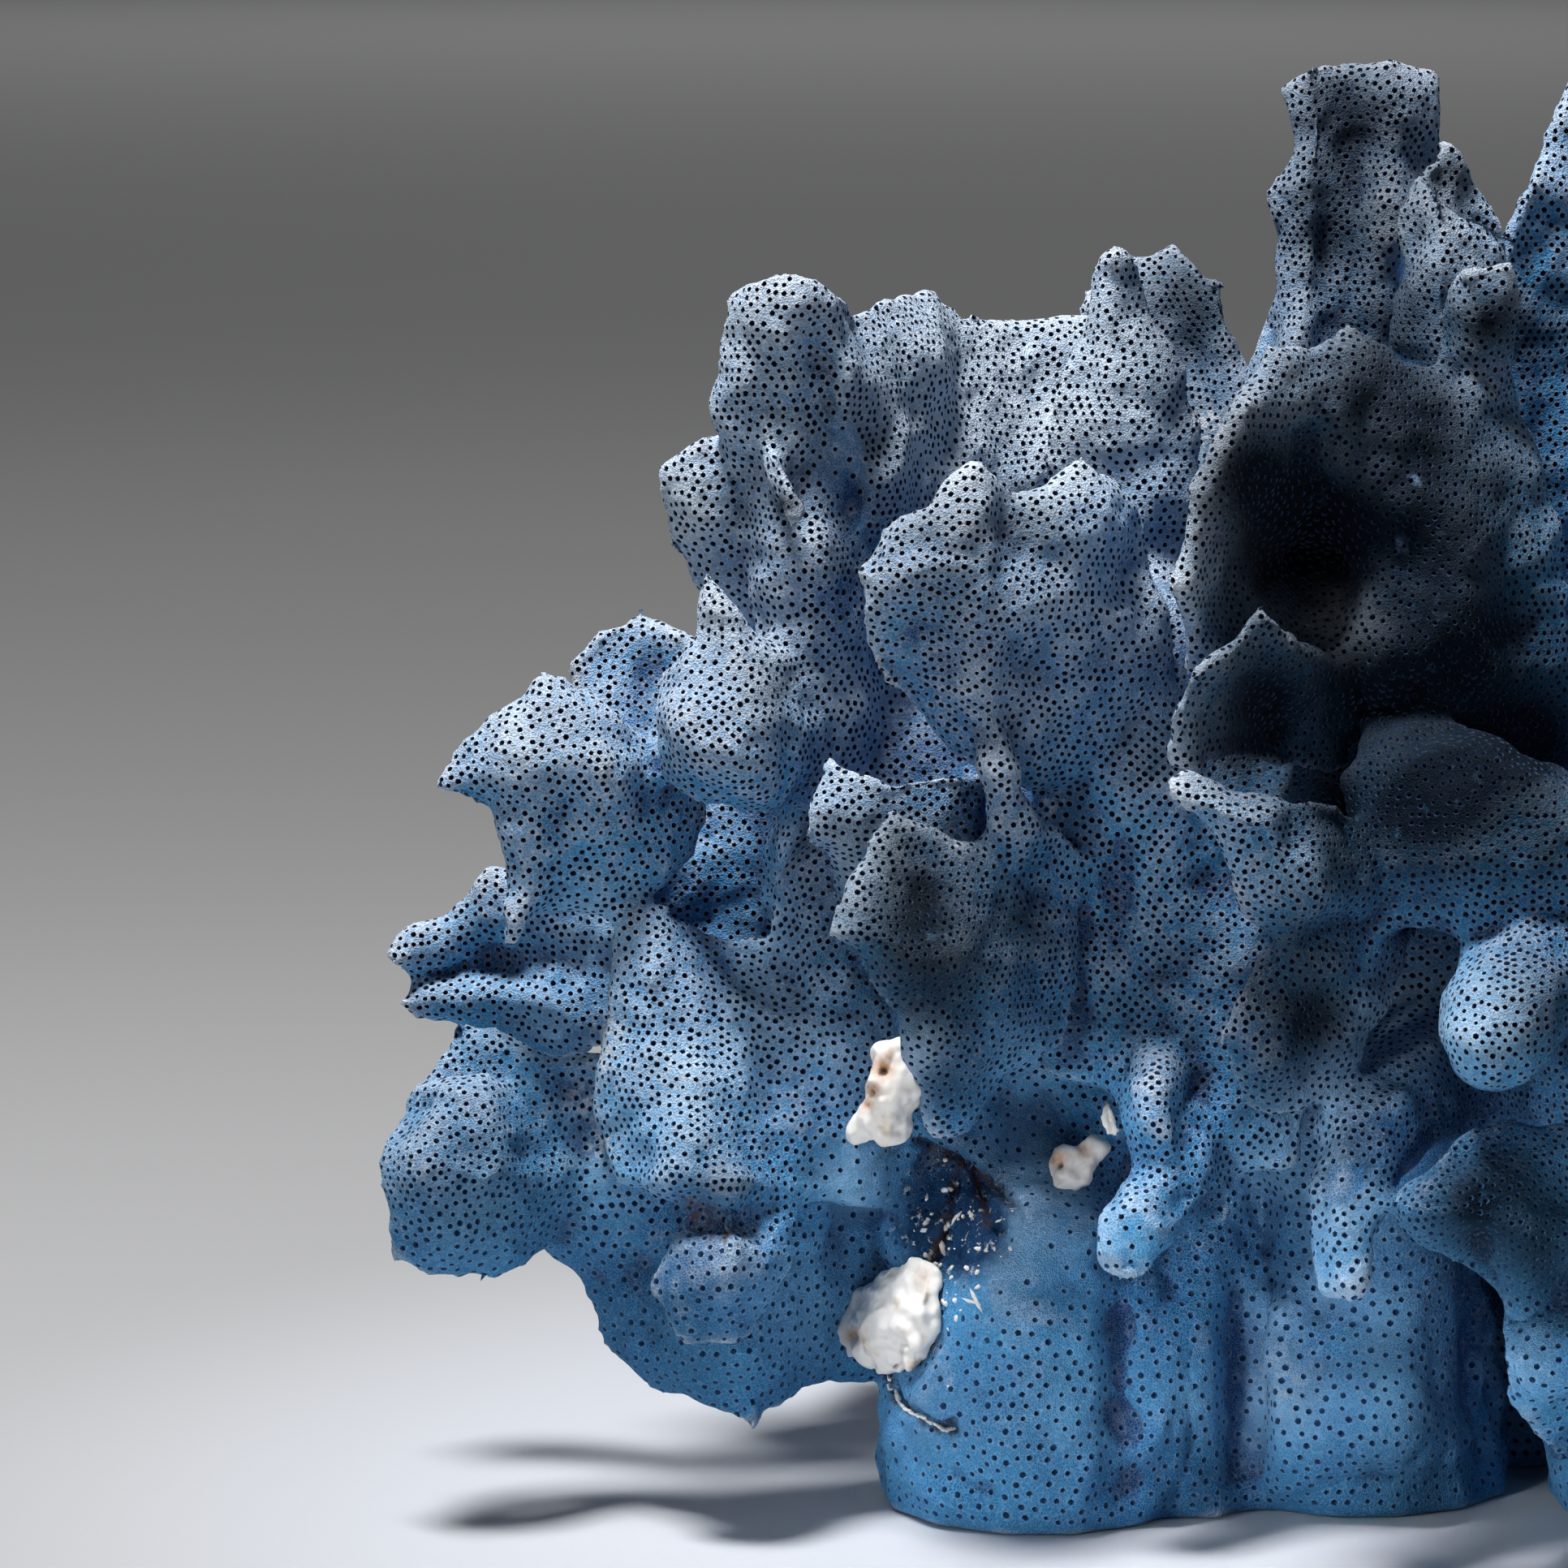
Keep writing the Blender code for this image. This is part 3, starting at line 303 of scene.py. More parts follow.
# Folds (+) and hollows (-) on the side that the photograph shows.
foldLook = {
    "facing": 0.35,  # squareness to the camera that takes the whole fold
    "backFrom": 8 * mm,  # nothing is folded behind this depth
    "folds": (  # across and up in the photograph, reach each way, height, all in mm
        (-33, 18, 3.4, 17, -3.8), (-17, 15, 3.2, 16, -3.6), (-11.5, 17, 3.0, 14, 4.0),
        (15.0, 20, 2.6, 17, -3.0), (-50, 24, 8, 14, 3.0), (-25, 20, 4, 14, 2.6), (3, 18, 6, 14, 3.0),
        (21, 22, 3, 13, 2.6), (-24, 42, 5, 5, -3.0), (-46, 39, 8, 3, 1.8), (-60, 14, 4, 5, 1.2),
        (-8, 30, 4, 8, -1.6), (-3, 43, 5, 5, -2.2), (-90, 44, 9, 2.2, 2.0), (-88, 38.5, 5, 2.2, -3.4),
        (-93, 56, 3, 10, 1.2), (-83, 60, 3, 9, -1.4), (-76, 52, 5, 8, -1.2), (-101, 30, 3, 7, -1.4),
        (-94, 24, 3, 8, 1.2), (-122, 47, 5, 5, -2.0), (-127, 56, 6, 1.5, 1.4), (-49, 134, 2.6, 5, -2.0),
        (-57, 132, 3.5, 5, 1.2), (-41, 134, 3.5, 5, 1.4), (-62, 119, 3.5, 6, -2.0),
        (-46, 114, 5, 4, -1.8), (-54, 112, 3, 5, 1.4), (-36, 118, 3, 9, -1.4), (-30, 122, 3, 10, 1.2),
        (-80, 158, 2.6, 8, 1.8), (-74, 150, 2.6, 9, -1.8), (-84, 146, 3, 7, -1.2),
        (-70, 136, 3, 8, -2.0), (-76, 130, 3, 8, 1.6), (-66, 112, 3, 10, -1.6), (-72, 106, 4, 6, 1.4),
        (-78, 112, 3, 7, -1.4), (-104, 100, 3, 8, 1.2), (-112, 92, 3, 7, -1.2), (-64, 84, 4, 5, -1.6),
        (-57, 76, 3, 6, 1.4), (-62, 68, 4, 3, -1.4), (-35, 84, 3, 8, -1.4), (-28, 92, 4, 8, 1.2),
        (-42, 68, 4, 5, -1.4), (-30, 60, 4, 5, 1.2), (-14, 90, 4, 3, -1.6), (-6, 100, 4, 4, 1.4),
        (-12, 104, 3, 3, -1.6), (4, 128, 3, 9, -1.8), (12, 126, 3, 10, 1.6), (19, 122, 3, 10, -1.6),
        (-4, 146, 3, 5, 1.4), (-6, 172, 2.4, 12, -1.6), (2, 176, 2.6, 14, 1.2), (-36, 158, 1.6, 9, 1.4),
        (-9, 62, 3, 6, -1.4), (-4, 46, 2, 8, 1.0),
    ),
}


def fold(mesh, points):
    normals = normalsOf(mesh)
    places = drawnPlaces(points)
    front = facing(normals, foldLook["facing"])
    front = front * eased(points[:, 2], *skinLook["foldFoot"])
    push = np.zeros(len(points))
    for across, up, wide, high, height in foldLook["folds"]:
        away = ((places - (across, up)) / (wide, high)) ** 2
        push += np.exp(-away.sum(1)) * height * mm
    points = points + normals * (push * front * (points[:, 1] < foldLook["backFrom"]))[:, None]
    putPoints(mesh, points)
    return points


points = fold(skin, points)


# The damaged patch: cracks as lines in the photograph, and gnawed pits round them.
damageLook = {
    "cracks": (
        ((-62, 49.5), (-58.5, 47.5), (-55, 46), (-51.5, 43.5), (-48.5, 40.5)),
        ((-56.8, 45.5), (-57.6, 41.5), (-58.6, 37.5), (-60.2, 33)),
        ((-54.5, 45), (-53.4, 41.5), (-52.6, 38)),
        ((-66.3, 18.5), (-65, 14), (-61, 11.2), (-57.4, 9.6)),
    ),
    "crackWide": 0.55,  # mm in the photograph
    "crackDeep": 2.2 * mm,
    "patch": (-57, 38.5, 8.0),  # across, up, reach, mm
    "pits": ((4.0, 4.4), (1.8, 2.2)),  # size and depth, mm
    "pitsFrom": 0.02,  # share of the patch where the pits begin
    "hole": (-57.7, 10.8, 0.9, 2.2),  # across, up, reach, depth, mm
    "facing": 0.4,
    "backFrom": 5 * mm,
}


def lineDistance(places, line):
    best = np.full(len(places), 99.0)
    for one, two in zip(line, line[1:]):
        one, two = np.array(one), np.array(two)
        way = two - one
        share = np.clip(((places - one) @ way) / (way @ way), 0, 1)
        best = np.minimum(best, np.linalg.norm(places - one - share[:, None] * way, axis=1))
    return best


def crackShare(places):
    nearest = np.min([lineDistance(places, line) for line in damageLook["cracks"]], axis=0)
    return np.exp(-(nearest / damageLook["crackWide"]) ** 2)


def patchShare(places):
    across, up, reach = damageLook["patch"]
    return np.exp(-(((places - (across, up)) ** 2).sum(1) / reach ** 2) ** 2)


def damage(mesh, points):
    normals = normalsOf(mesh)
    places = drawnPlaces(points)
    front = facing(normals, damageLook["facing"])
    front = front * (points[:, 1] < damageLook["backFrom"])
    sink = crackShare(places) * damageLook["crackDeep"]
    near = np.flatnonzero(patchShare(places) > damageLook["pitsFrom"])
    for size, deep in damageLook["pits"]:
        pits = np.clip(noiseAt(points[near], size, seed=9.0), 0, 1)
        sink[near] += pits * deep * mm * patchShare(places[near])
    across, up, reach, deep = damageLook["hole"]
    sink += nearness(places, across, up, reach) * deep * mm
    points = points - normals * (sink * front)[:, None]
    putPoints(mesh, points)
    return points


points = damage(skin, points)
print("skin roughened")


# What the camera doesn't see gets larger cells and wider set pores.
seenLook = {
    "lift": 1.6 * mm,
    "growPasses": 5,
    "growGain": 2,
    "hidden": 0.02,  # unseen below this share, wholly seen above the next
    "known": 0.3,
    "unseenShare": 0.29,  # triangles that the unseen part keeps
}


def cadTree():
    spots, faces, owners = [], [], []
    for name in coralNodes:
        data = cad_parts[name].data
        start = len(spots)
        spots += [vertex.co.copy() for vertex in data.vertices]
        faces += [[start + index for index in polygon.vertices] for polygon in data.polygons]
        owners += [name] * len(data.polygons)
    return BVHTree.FromPolygons(spots, faces), owners


cad, cadOwners = cadTree()


def seenShare(points, normals, edges):
    seen = np.zeros(len(points))
    front = along(np.array(eye) - points, normals) > 0
    starts = (points + normals * seenLook["lift"]).tolist()
    for index in np.flatnonzero(front):
        start = Vector(starts[index])
        way = eye - start
        if cad.ray_cast(start, way.normalized(), way.length)[0] is None:
            seen[index] = 1
    for _ in range(seenLook["growPasses"]):
        seen = np.maximum(seen, meanOfNeighbours(seen, edges))
    return np.minimum(seen * seenLook["growGain"], 1)


def store(mesh, name, values):
    layer = mesh.attributes.new(name, "FLOAT", "POINT")
    layer.data.foreach_set("value", np.asarray(values, np.float32))


def stored(mesh, name):
    return rows(mesh.attributes[name].data, "value", 1)[:, 0].astype(float)


def thinned(mesh, seen):
    item = placed("thinning", mesh)
    group = item.vertex_groups.new(name="unseen")
    hidden = np.flatnonzero(seen < seenLook["hidden"]).tolist()
    group.add(hidden, 1.0, "REPLACE")
    share = len(hidden) / len(seen)
    modifier = item.modifiers.new("fewer", "DECIMATE")
    modifier.ratio = 1 - share * (1 - seenLook["unseenShare"])
    modifier.vertex_group = group.name
    modifier.use_collapse_triangulate = True
    made = applied(item)
    print("unseen part thinned:", len(made.vertices), "points")
    return made


seen = seenShare(points, normalsOf(skin), edges)
store(skin, "rim", rim)
store(skin, "seen", seen)
skin = thinned(skin, seen)


# How open each point is to the sky and the room, found on a coarse copy.
openLook = {
    "grain": 4 * mm,
    "rays": 28,
    "turn": 2.39996,  # the golden angle between one ray and the next
    "reach": 70 * mm,
    "lift": 2.5 * mm,
    "grazing": 0.05,  # rays flatter than this to the surface don't count
    "floorShare": 0.4,  # light that comes back from the floor
}


def opennessOf(mesh, points, normals):
    coarse = remeshed(mesh.copy(), openLook["grain"])
    coarse.calc_loop_triangles()
    tree = treeOf(coarse)
    rays = []
    for index in range(openLook["rays"]):  # evenly over the sphere
        height = 1 - 2 * (index + 0.5) / openLook["rays"]
        turn = index * openLook["turn"]
        flat = math.sqrt(1 - height * height)
        rays.append(Vector((flat * math.cos(turn), flat * math.sin(turn), height)))
    spots = KDTree(len(coarse.vertices))
    shares = []
    for index, vertex in enumerate(coarse.vertices):
        spots.insert(vertex.co, index)
        start = vertex.co + vertex.normal * openLook["lift"]
        total, free = 0.0, 0.0
        for ray in rays:
            weight = ray.dot(vertex.normal)
            if weight > openLook["grazing"]:
                total += weight
                if ray.z < -openLook["grazing"] and start.z / -ray.z < openLook["reach"]:
                    free += weight * openLook["floorShare"]
                elif tree.ray_cast(start, ray, openLook["reach"])[0] is None:
                    free += weight
        shares.append(free / total)
    spots.balance()
    shares = np.array(shares)
    coarseEdges = edgesOf(coarse)
    shares = meanOfNeighbours(shares, coarseEdges)
    return np.array([shares[spots.find(point)[1]] for point in points])


triangulate(skin)
points = pointsOf(skin)
points[:, 2] = np.maximum(points[:, 2], 0)
putPoints(skin, points)
edges = edgesOf(skin)
normals = normalsOf(skin)
rim = stored(skin, "rim")
seen = stored(skin, "seen")
openness = opennessOf(skin, points, normals)
print("openness found:", np.percentile(openness, (5, 25, 50, 75, 95)).round(2))


# Painted shade, painted light, pale and dirty places, as (across, up, reach, strength) in the photograph,
# mm.
spotLook = {
    "shade": (
        (-13, 131, 11, 1.0), (-16, 141, 9, 0.95), (-5, 134, 9, 0.9), (8, 134, 15, 0.88),
        (12, 118, 14, 0.93), (0, 112, 12, 0.92), (-15, 110, 10, 0.93), (-18, 102, 6, 0.8),
        (10, 96, 14, 0.97), (-6, 96, 8, 0.85), (22, 104, 12, 0.95), (24, 90, 7, 0.6),
        (-8, 66, 10, 0.95), (-10, 77, 7, 0.7), (-62, 81, 13, 0.93), (-60, 69, 10, 0.75),
        (-58, 57, 5, 0.6), (-66, 90, 5, 0.7), (14, 41, 10, 0.9), (24, 34, 10, 0.8), (-2, 152, 9, 0.85),
        (4, 162, 9, 0.75), (-4, 175, 11, 0.8), (-2, 190, 10, 0.85), (8, 150, 7, 0.7), (16, 162, 5, 0.9),
        # The spot at (-80, 136.8) in this list is the navy end of a stub, the coral's own colour.
        (11, 182, 3.5, 0.7), (-80, 136.8, 2, 1.0), (-101, 27, 8, 0.35), (-120, 44, 12, 0.45),
        (-90, 44, 5, 0.5), (-42, 46, 4, 0.9), (-54, 44, 5, 0.5), (-24, 161, 9, 0.75),
        (-27, 150, 5, 0.5), (24, 68, 9, 0.6), (24, 160, 9, 0.5), (-68, 146, 6, 0.5), (-26, 166, 6, 0.6),
        (-82, 111, 5, 0.6), (8, 178, 5, 0.4), (-48, 134, 6, 0.6), (-60, 134, 6, 0.4),
        (-26, 76, 10, 0.5), (-36, 66, 7, 0.5), (-26, 66, 8, 0.45), (-48, 79, 5, 0.6), (-15, 56, 6, 0.5),
        (5, 94, 7, 0.7), (-3, 88, 5, 0.5), (1, 20, 5, 0.5), (6, 1, 8, 0.55), (-22, 3, 6, 0.35),
        (6, 13, 5, 0.3), (17, 45, 6, 0.4), (8, 144, 6, 0.6), (18, 140, 7, 0.5), (-93, 32, 5, 0.3),
        (-71, 130, 6, 0.25), (-57, 122, 6, 0.2), (-5, 44, 7, 0.45), (-92, 19, 8, 0.35),
    ),
    # painted light
    "paintedLight": (
        (-58, 153, 9, 1.0), (-60, 145, 7, 0.9), (-48, 150, 9, 1.0), (-40, 147, 8, 0.9),
        (-34, 146, 8, 0.6), (-35, 160, 6, 0.6), (-52, 160, 8, 0.6), (-36, 122, 8, 0.5),
        (-47, 108, 6, 0.35), (-105, 62, 3, 0.6), (-95, 138, 5, 0.9), (-90, 122, 4, 0.9),
        (-84, 114, 6, 0.4), (-116, 106, 6, 0.5), (-94, 58, 10, 0.5), (-71, 44, 5, 0.8),
        (9, 176, 6, 0.3), (5, 66, 7, 0.6), (16, 66, 5, 0.6), (-12, 27, 5, 0.9), (-12, 14, 6, 0.9),
        (-50, 36, 5, 1.0), (-27, 128, 7, 0.4), (-8, 52, 5, 0.6), (-42, 14, 9, 0.3), (3, 14, 7, 0.35),
        (-25, 14, 4, 0.4), (-42, 38, 6, 0.6), (-49, 48, 4, 0.7), (-4, 40, 6, 0.5), (-6, 30, 5, 0.3),
        (-60, 12, 6, 0.3), (-93, 133, 5, 0.7), (-83, 122, 5, 0.5), (-82, 144, 5, 0.4),
        (-71, 111, 6, 0.6), (-71, 89, 6, 0.55), (-71, 100, 5, 0.45), (-82, 67, 6, 0.8),
        (-82, 78, 5, 0.4), (-106, 78, 7, 0.45), (-104, 44, 6, 0.4), (-4, 121, 4, 0.35),
        (-4, 56, 4, 0.5), (-15, 44, 5, 0.8), (18, 19, 4, 0.7), (18, 9, 4, 0.6), (21, 20, 4, 0.6),
        (-6, 42, 5, 0.5), (-68, 30, 5, 0.3), (-124, 40, 7, 0.35), (-112, 66, 6, 0.4),
        (-86, 160, 4, 0.5), (2, 26, 5, 0.5), (-46, 60, 6, 0.3), (-62, 62, 4, 0.4), (-70, 60, 6, 0.5),
        (-30, 105, 8, 0.3), (-78, 28, 8, 0.4),
    ),
    "pale": (
        (-104.5, 65, 2.2, 0.9), (-105.5, 61, 2, 0.9), (-108, 55, 2.5, 0.7), (-105, 49, 2.5, 0.7),
        (-96, 58, 4, 0.4), (-43.2, 95.5, 1.6, 1.0), (-57, 91.3, 1.4, 1.0), (-22.3, 147.5, 2.5, 0.8),
        (-62, 22, 3, 0.7), (-12, 17, 4, 0.35),
    ),
    "dirt": (
        (-93, 40, 2.5, 0.9), (-89, 37, 2.5, 0.8), (-86.5, 35, 2, 0.6), (-53.3, 40, 1.5, 1.0),
        (-57, 45.5, 2, 1.0), (-52, 43, 2, 1.0), (-59, 40, 1.5, 0.9), (-81, 141, 1.2, 0.7),
        (-57.8, 11, 1.2, 1.0), (-66, 48, 2, 0.5),
    ),
}


def paintSpots(mesh, points, seen):
    places = drawnPlaces(points)
    known = eased(seen, 0.0, seenLook["known"])
    for name, spots in spotLook.items():
        share = np.zeros(len(points))
        for across, up, reach, strength in spots:
            share = 1 - (1 - share) * (1 - nearness(places, across, up, reach) * strength)
        store(mesh, name, share * known)
    front = points[:, 1] < damageLook["backFrom"]
    store(mesh, "crack", crackShare(places) * front)
    store(mesh, "patch", patchShare(places) * front * known)


# Pores: round pits over the whole skin, closest where the camera looks.
poreLook = {
    "nearestSeen": 0.985 * mm,  # closest that two pores are chosen, where the camera looks
    "nearestUnseen": 2.15 * mm,
    "nearestFoot": 1.5 * mm,
    "footHeights": (34 * mm, 52 * mm),  # the foot's spacing below, the fronds' above
    "nearestHidden": 3.8 * mm,
    "hiddenOpenness": (0.1, 0.3),
    "bare": (  # places with few pores: across, up, reach, how much wider the pores stand
        (-58, 30, 6, 1.4), (-70, 44, 6, 1.2), (-46, 50, 7, 0.9), (-45, 34, 7, 1.0), (-52, 36, 6, 1.4),
        (-63, 12, 5, 1.2), (-30, 36, 5, 0.6),
    ),
    "spread": 1.2,  # how much further apart they then push each other
    "spreadPasses": 6,
    "spreadReach": 1.15,
    "spreadStep": 0.3,
    "room": 0.68 * mm,  # clear space that a pore keeps round its middle
    "roomPasses": 3,
    "roomStep": 0.5,
    "cut": 0.31 * mm,
    "radius": (0.30 * mm, 0.46 * mm),
    "footRadius": 1.15,  # how much larger the pores are on the foot
    "footTop": 45 * mm,
    "depth": 0.95 * mm,
    "rimBare": 0.8,  # rims above this share have no pores
    "groundBare": 2 * mm,
}


def nearestOf(points, seen, openness):
    foot = 1 - eased(points[:, 2], *poreLook["footHeights"])
    known = eased(seen, seenLook["hidden"], seenLook["known"])
    nearest = poreLook["nearestSeen"] + (poreLook["nearestFoot"] - poreLook["nearestSeen"]) * foot
    nearest += (poreLook["nearestUnseen"] - nearest) * (1 - known)
    hidden = (1 - eased(openness, *poreLook["hiddenOpenness"])) * (1 - known)
    nearest += (poreLook["nearestHidden"] - nearest) * hidden
    places = drawnPlaces(points)
    for across, up, reach, wider in poreLook["bare"]:
        nearest *= 1 + wider * (nearness(places, across, up, reach) * known)
    return nearest


def choosePores(points, allowed, nearest):  # in random order, none nearer than allowed to another
    cell = nearest.max()
    order = np.flatnonzero(allowed).tolist()
    random.shuffle(order)
    keys = np.floor(points / cell).astype(int).tolist()
    spots = points.tolist()
    limits = (nearest ** 2).tolist()
    filled = {}
    chosen = []
    around = [(a, b, c) for a in (-1, 0, 1) for b in (-1, 0, 1) for c in (-1, 0, 1)]
    for index in order:
        x, y, z = spots[index]
        i, j, k = keys[index]
        limit = limits[index]
        near = [other for a, b, c in around for other in filled.get((i + a, j + b, k + c), ())]
        if all((p - x) ** 2 + (q - y) ** 2 + (r - z) ** 2 > limit for p, q, r in near):
            filled.setdefault((i, j, k), []).append((x, y, z))
            chosen.append(index)
    return np.array(chosen)


def spreadPores(points, normals, edges, pores, apart):
    tree = KDTree(len(pores))
    for index, spot in enumerate(points[pores]):
        tree.insert(spot, index)
    tree.balance()
    pairs = []
    for index, spot in enumerate(points[pores]):
        found = tree.find_range(spot, apart[index] * poreLook["spreadReach"])
        pairs += [(index, other) for _, other, _ in found if other != index]
    pairs = np.array(pairs)
    isPore = np.zeros(len(points), bool)
    isPore[pores] = True
    wish = (apart[pairs[:, 0]] + apart[pairs[:, 1]]) / 2
    flat = normals[pores]
    for _ in range(poreLook["spreadPasses"]):
        spots = points[pores]
        gap = spots[pairs[:, 0]] - spots[pairs[:, 1]]
        length = np.maximum(np.linalg.norm(gap, axis=1), 0.01 * mm)
        push = gap * (np.clip(wish - length, 0, None) * poreLook["spreadStep"] / length)[:, None]
        move = np.stack([np.bincount(pairs[:, 0], weights=push[:, axis], minlength=len(pores))
                         for axis in range(3)], 1)
        move -= flat * along(move, flat)[:, None]
        points[pores] = spots + move
        drift = meanOfNeighbours(points, edges) - points
        drift -= normals * along(drift, normals)[:, None]
        drift[isPore] = 0
        points = points + drift * skinLook["softStep"]
    return points


def clearOfPores(points, normals, edges, isPore):
    one, two = edges[:, 0], edges[:, 1]
    mixed = isPore[one] != isPore[two]
    pore = np.where(isPore[one], one, two)[mixed]
    other = np.where(isPore[one], two, one)[mixed]
    for _ in range(poreLook["roomPasses"]):
        gap = points[other] - points[pore]
        length = np.maximum(np.linalg.norm(gap, axis=1), 0.001 * mm)
        push = gap * (np.clip(poreLook["room"] - length, 0, None) / length)[:, None]
        push -= normals[other] * along(push, normals[other])[:, None]
        for axis in range(3):
            moved = np.bincount(other, weights=push[:, axis], minlength=len(points))
            points[:, axis] += moved * poreLook["roomStep"]
    return points


def layPores(mesh, points, edges, rim, seen, openness):
    normals = normalsOf(mesh)
    valence = np.bincount(edges.ravel(), minlength=len(points))
    allowed = (rim < poreLook["rimBare"]) & (valence > 4) & (valence < 9)  # only where a round pore fits
    allowed &= points[:, 2] > poreLook["groundBare"]
    nearest = nearestOf(points, seen, openness)
    pores = choosePores(points, allowed, nearest)
    points = spreadPores(points, normals, edges, pores, nearest[pores] * poreLook["spread"])
    isPore = np.zeros(len(points), bool)
    isPore[pores] = True
    points = clearOfPores(points, normals, edges, isPore)
    putPoints(mesh, points)
    print("pores laid:", len(pores))
    return points, pores


def sinkPores(mesh, pores):
    bm = opened(mesh)
    bm.verts.ensure_lookup_table()
    cut = bmesh.ops.bevel(bm, geom=[bm.verts[index] for index in pores], offset=poreLook["cut"],
                          offset_type="OFFSET", segments=1, profile=0.5, affect="VERTICES",
                          material=-1, clamp_overlap=False)
    lip = bm.verts.layers.float.new("lip")
    for face in cut["faces"]:
        centre = face.calc_center_median()
        radius = random.uniform(*poreLook["radius"])
        if centre.z < poreLook["footTop"]:
            radius *= poreLook["footRadius"]
        normal = face.normal
        for vert in face.verts:
            out = vert.co - centre
            out -= normal * out.dot(normal)
            vert.co = centre + out.normalized() * radius
            vert[lip] = 1.0
        for edge in face.edges:
            edge.smooth = False
    sunk = bmesh.ops.poke(bm, faces=cut["faces"], offset=-poreLook["depth"], center_mode="MEAN",
                          use_relative_offset=False)
    for vert in sunk["verts"]:
        vert[lip] = 0.0
    for face in sunk["faces"]:
        face.material_index = 1
    bmesh.ops.triangulate(bm, faces=[face for face in bm.faces if len(face.verts) > 3])
    for face in bm.faces:
        face.smooth = True
    print("pores sunk:", len(bm.faces), "triangles")
    return bm


store(skin, "openness", openness)
store(skin, "standing", standOut(points, normals, edges, skinLook["standPasses"]))
store(skin, "upward", softened(normals, edges, skinLook["upwardPasses"])[:, 2])
paintSpots(skin, points, seen)
points, pores = layPores(skin, points, edges, rim, seen, openness)
whole = sinkPores(skin, pores)


# The skin is shared out between pieces, each of which stands for the nodes at its place.
pieceNodes = {
    "left_fronds": ("left_branch", "left_hanging_plate", "left_curl", "left_back_frond", "left_frond",
                    "back_lobe"),
    "crown": ("left_crown", "upper_left_lobe", "middle_left_lobe", "spiky_frond", "far_back_frond"),
    "middle_fronds": ("center_fan", "center_plate", "center_spike", "dark_front_frond", "behind_plate",
                      "column_lobe", "recess_sheet", "knob_lobe", "central_mass"),
    "front_sheets": ("large_front_sheet", "ruffled_lobe", "pointed_lobe", "lower_dark_lobe", "arch_front",
                     "blunt_nodule", "hanging_finger", "right_arm", "tallest_frond", "twisted_frond"),
    "right_fronds": ("right_branch", "right_crown", "right_curl", "right_frond", "right_front_fan",
                     "right_front_frond", "right_front_leaf", "right_hanging_plate", "right_lobe",
                     "right_low_plate", "right_upper_lobe"),
    "rear_left_fronds": ("rear_crown", "rear_left_branch", "rear_left_fan", "rear_left_frond",
                         "rear_left_plate", "rear_middle_frond", "rear_middle_leaf", "rear_fan"),
    "rear_right_fronds": ("rear_arch", "rear_arm", "rear_curl", "rear_dark_frond", "rear_hanging_plate",
                          "rear_large_sheet"),
}
trunkSplit = 62 * mm  # height that parts the foot from the wall above it


def shareOut(bm):
    pieceOf = {node: piece for piece, nodes in pieceNodes.items() for node in nodes}
    order = list(pieceNodes) + ["foot", "wall"]
    mark = bm.faces.layers.int.new("piece")
    for face in bm.faces:
        centre = face.calc_center_median()
        node = cadOwners[cad.find_nearest(centre)[2]]
        if node == "trunk":
            piece = "foot" if centre.z < trunkSplit else "wall"
        else:
            piece = pieceOf[node]
        face[mark] = order.index(piece)
    return order


order = shareOut(whole)
wholeMesh = meshFrom(whole, "whole")
print("skin shared out")


# Finishes.
def newMaterial(name, roughness, specular):
    made = bpy.data.materials.new(name)
    made.use_nodes = True
    shader = made.node_tree.nodes["Principled BSDF"]
    shader.inputs["Roughness"].default_value = roughness
    shader.inputs["Specular IOR Level"].default_value = specular
    return made, made.node_tree.nodes, made.node_tree.links, shader


def ramp(nodes, links, value, stops, between="LINEAR"):
    made = nodes.new("ShaderNodeValToRGB")
    made.color_ramp.interpolation = between
    while len(made.color_ramp.elements) < len(stops):
        made.color_ramp.elements.new(0.5)
    for element, (place, colour) in zip(made.color_ramp.elements, stops):
        element.position = place
        element.color = (*colour, 1)
    links.new(value, made.inputs[0])
    return made.outputs[0]


def bumped(nodes, links, height, strength, distance, below=None):
    made = nodes.new("ShaderNodeBump")
    made.inputs["Strength"].default_value = strength
    made.inputs["Distance"].default_value = distance
    links.new(height, made.inputs["Height"])
    if below is not None:
        links.new(below, made.inputs["Normal"])
    return made.outputs[0]


def attribute(nodes, name):
    made = nodes.new("ShaderNodeAttribute")
    made.attribute_name = name
    return made


def maths(nodes, links, operation, one, two, clamp=False):
    made = nodes.new("ShaderNodeMath")
    made.operation = operation
    made.use_clamp = clamp
    for socket, value in zip(made.inputs, (one, two)):
        if isinstance(value, (int, float)):
            socket.default_value = value
        else:
            links.new(value, socket)
    return made.outputs[0]


def mixed(nodes, links, share, one, two, blend="MIX"):
    made = nodes.new("ShaderNodeMix")
    made.data_type = "RGBA"
    made.blend_type = blend
    for socket, value in zip((made.inputs[0], made.inputs[6], made.inputs[7]), (share, one, two)):
        if isinstance(value, (int, float)):
            socket.default_value = value
        elif isinstance(value, tuple):
            socket.default_value = (*value, 1)
        else:
            links.new(value, socket)
    return made.outputs[2]


def noiseNode(nodes, links, place, scale, detail=3, roughness=0.55):
    made = nodes.new("ShaderNodeTexNoise")
    made.inputs["Scale"].default_value = scale
    made.inputs["Detail"].default_value = detail
    made.inputs["Roughness"].default_value = roughness
    links.new(place, made.inputs["Vector"])
    return made.outputs["Fac"]


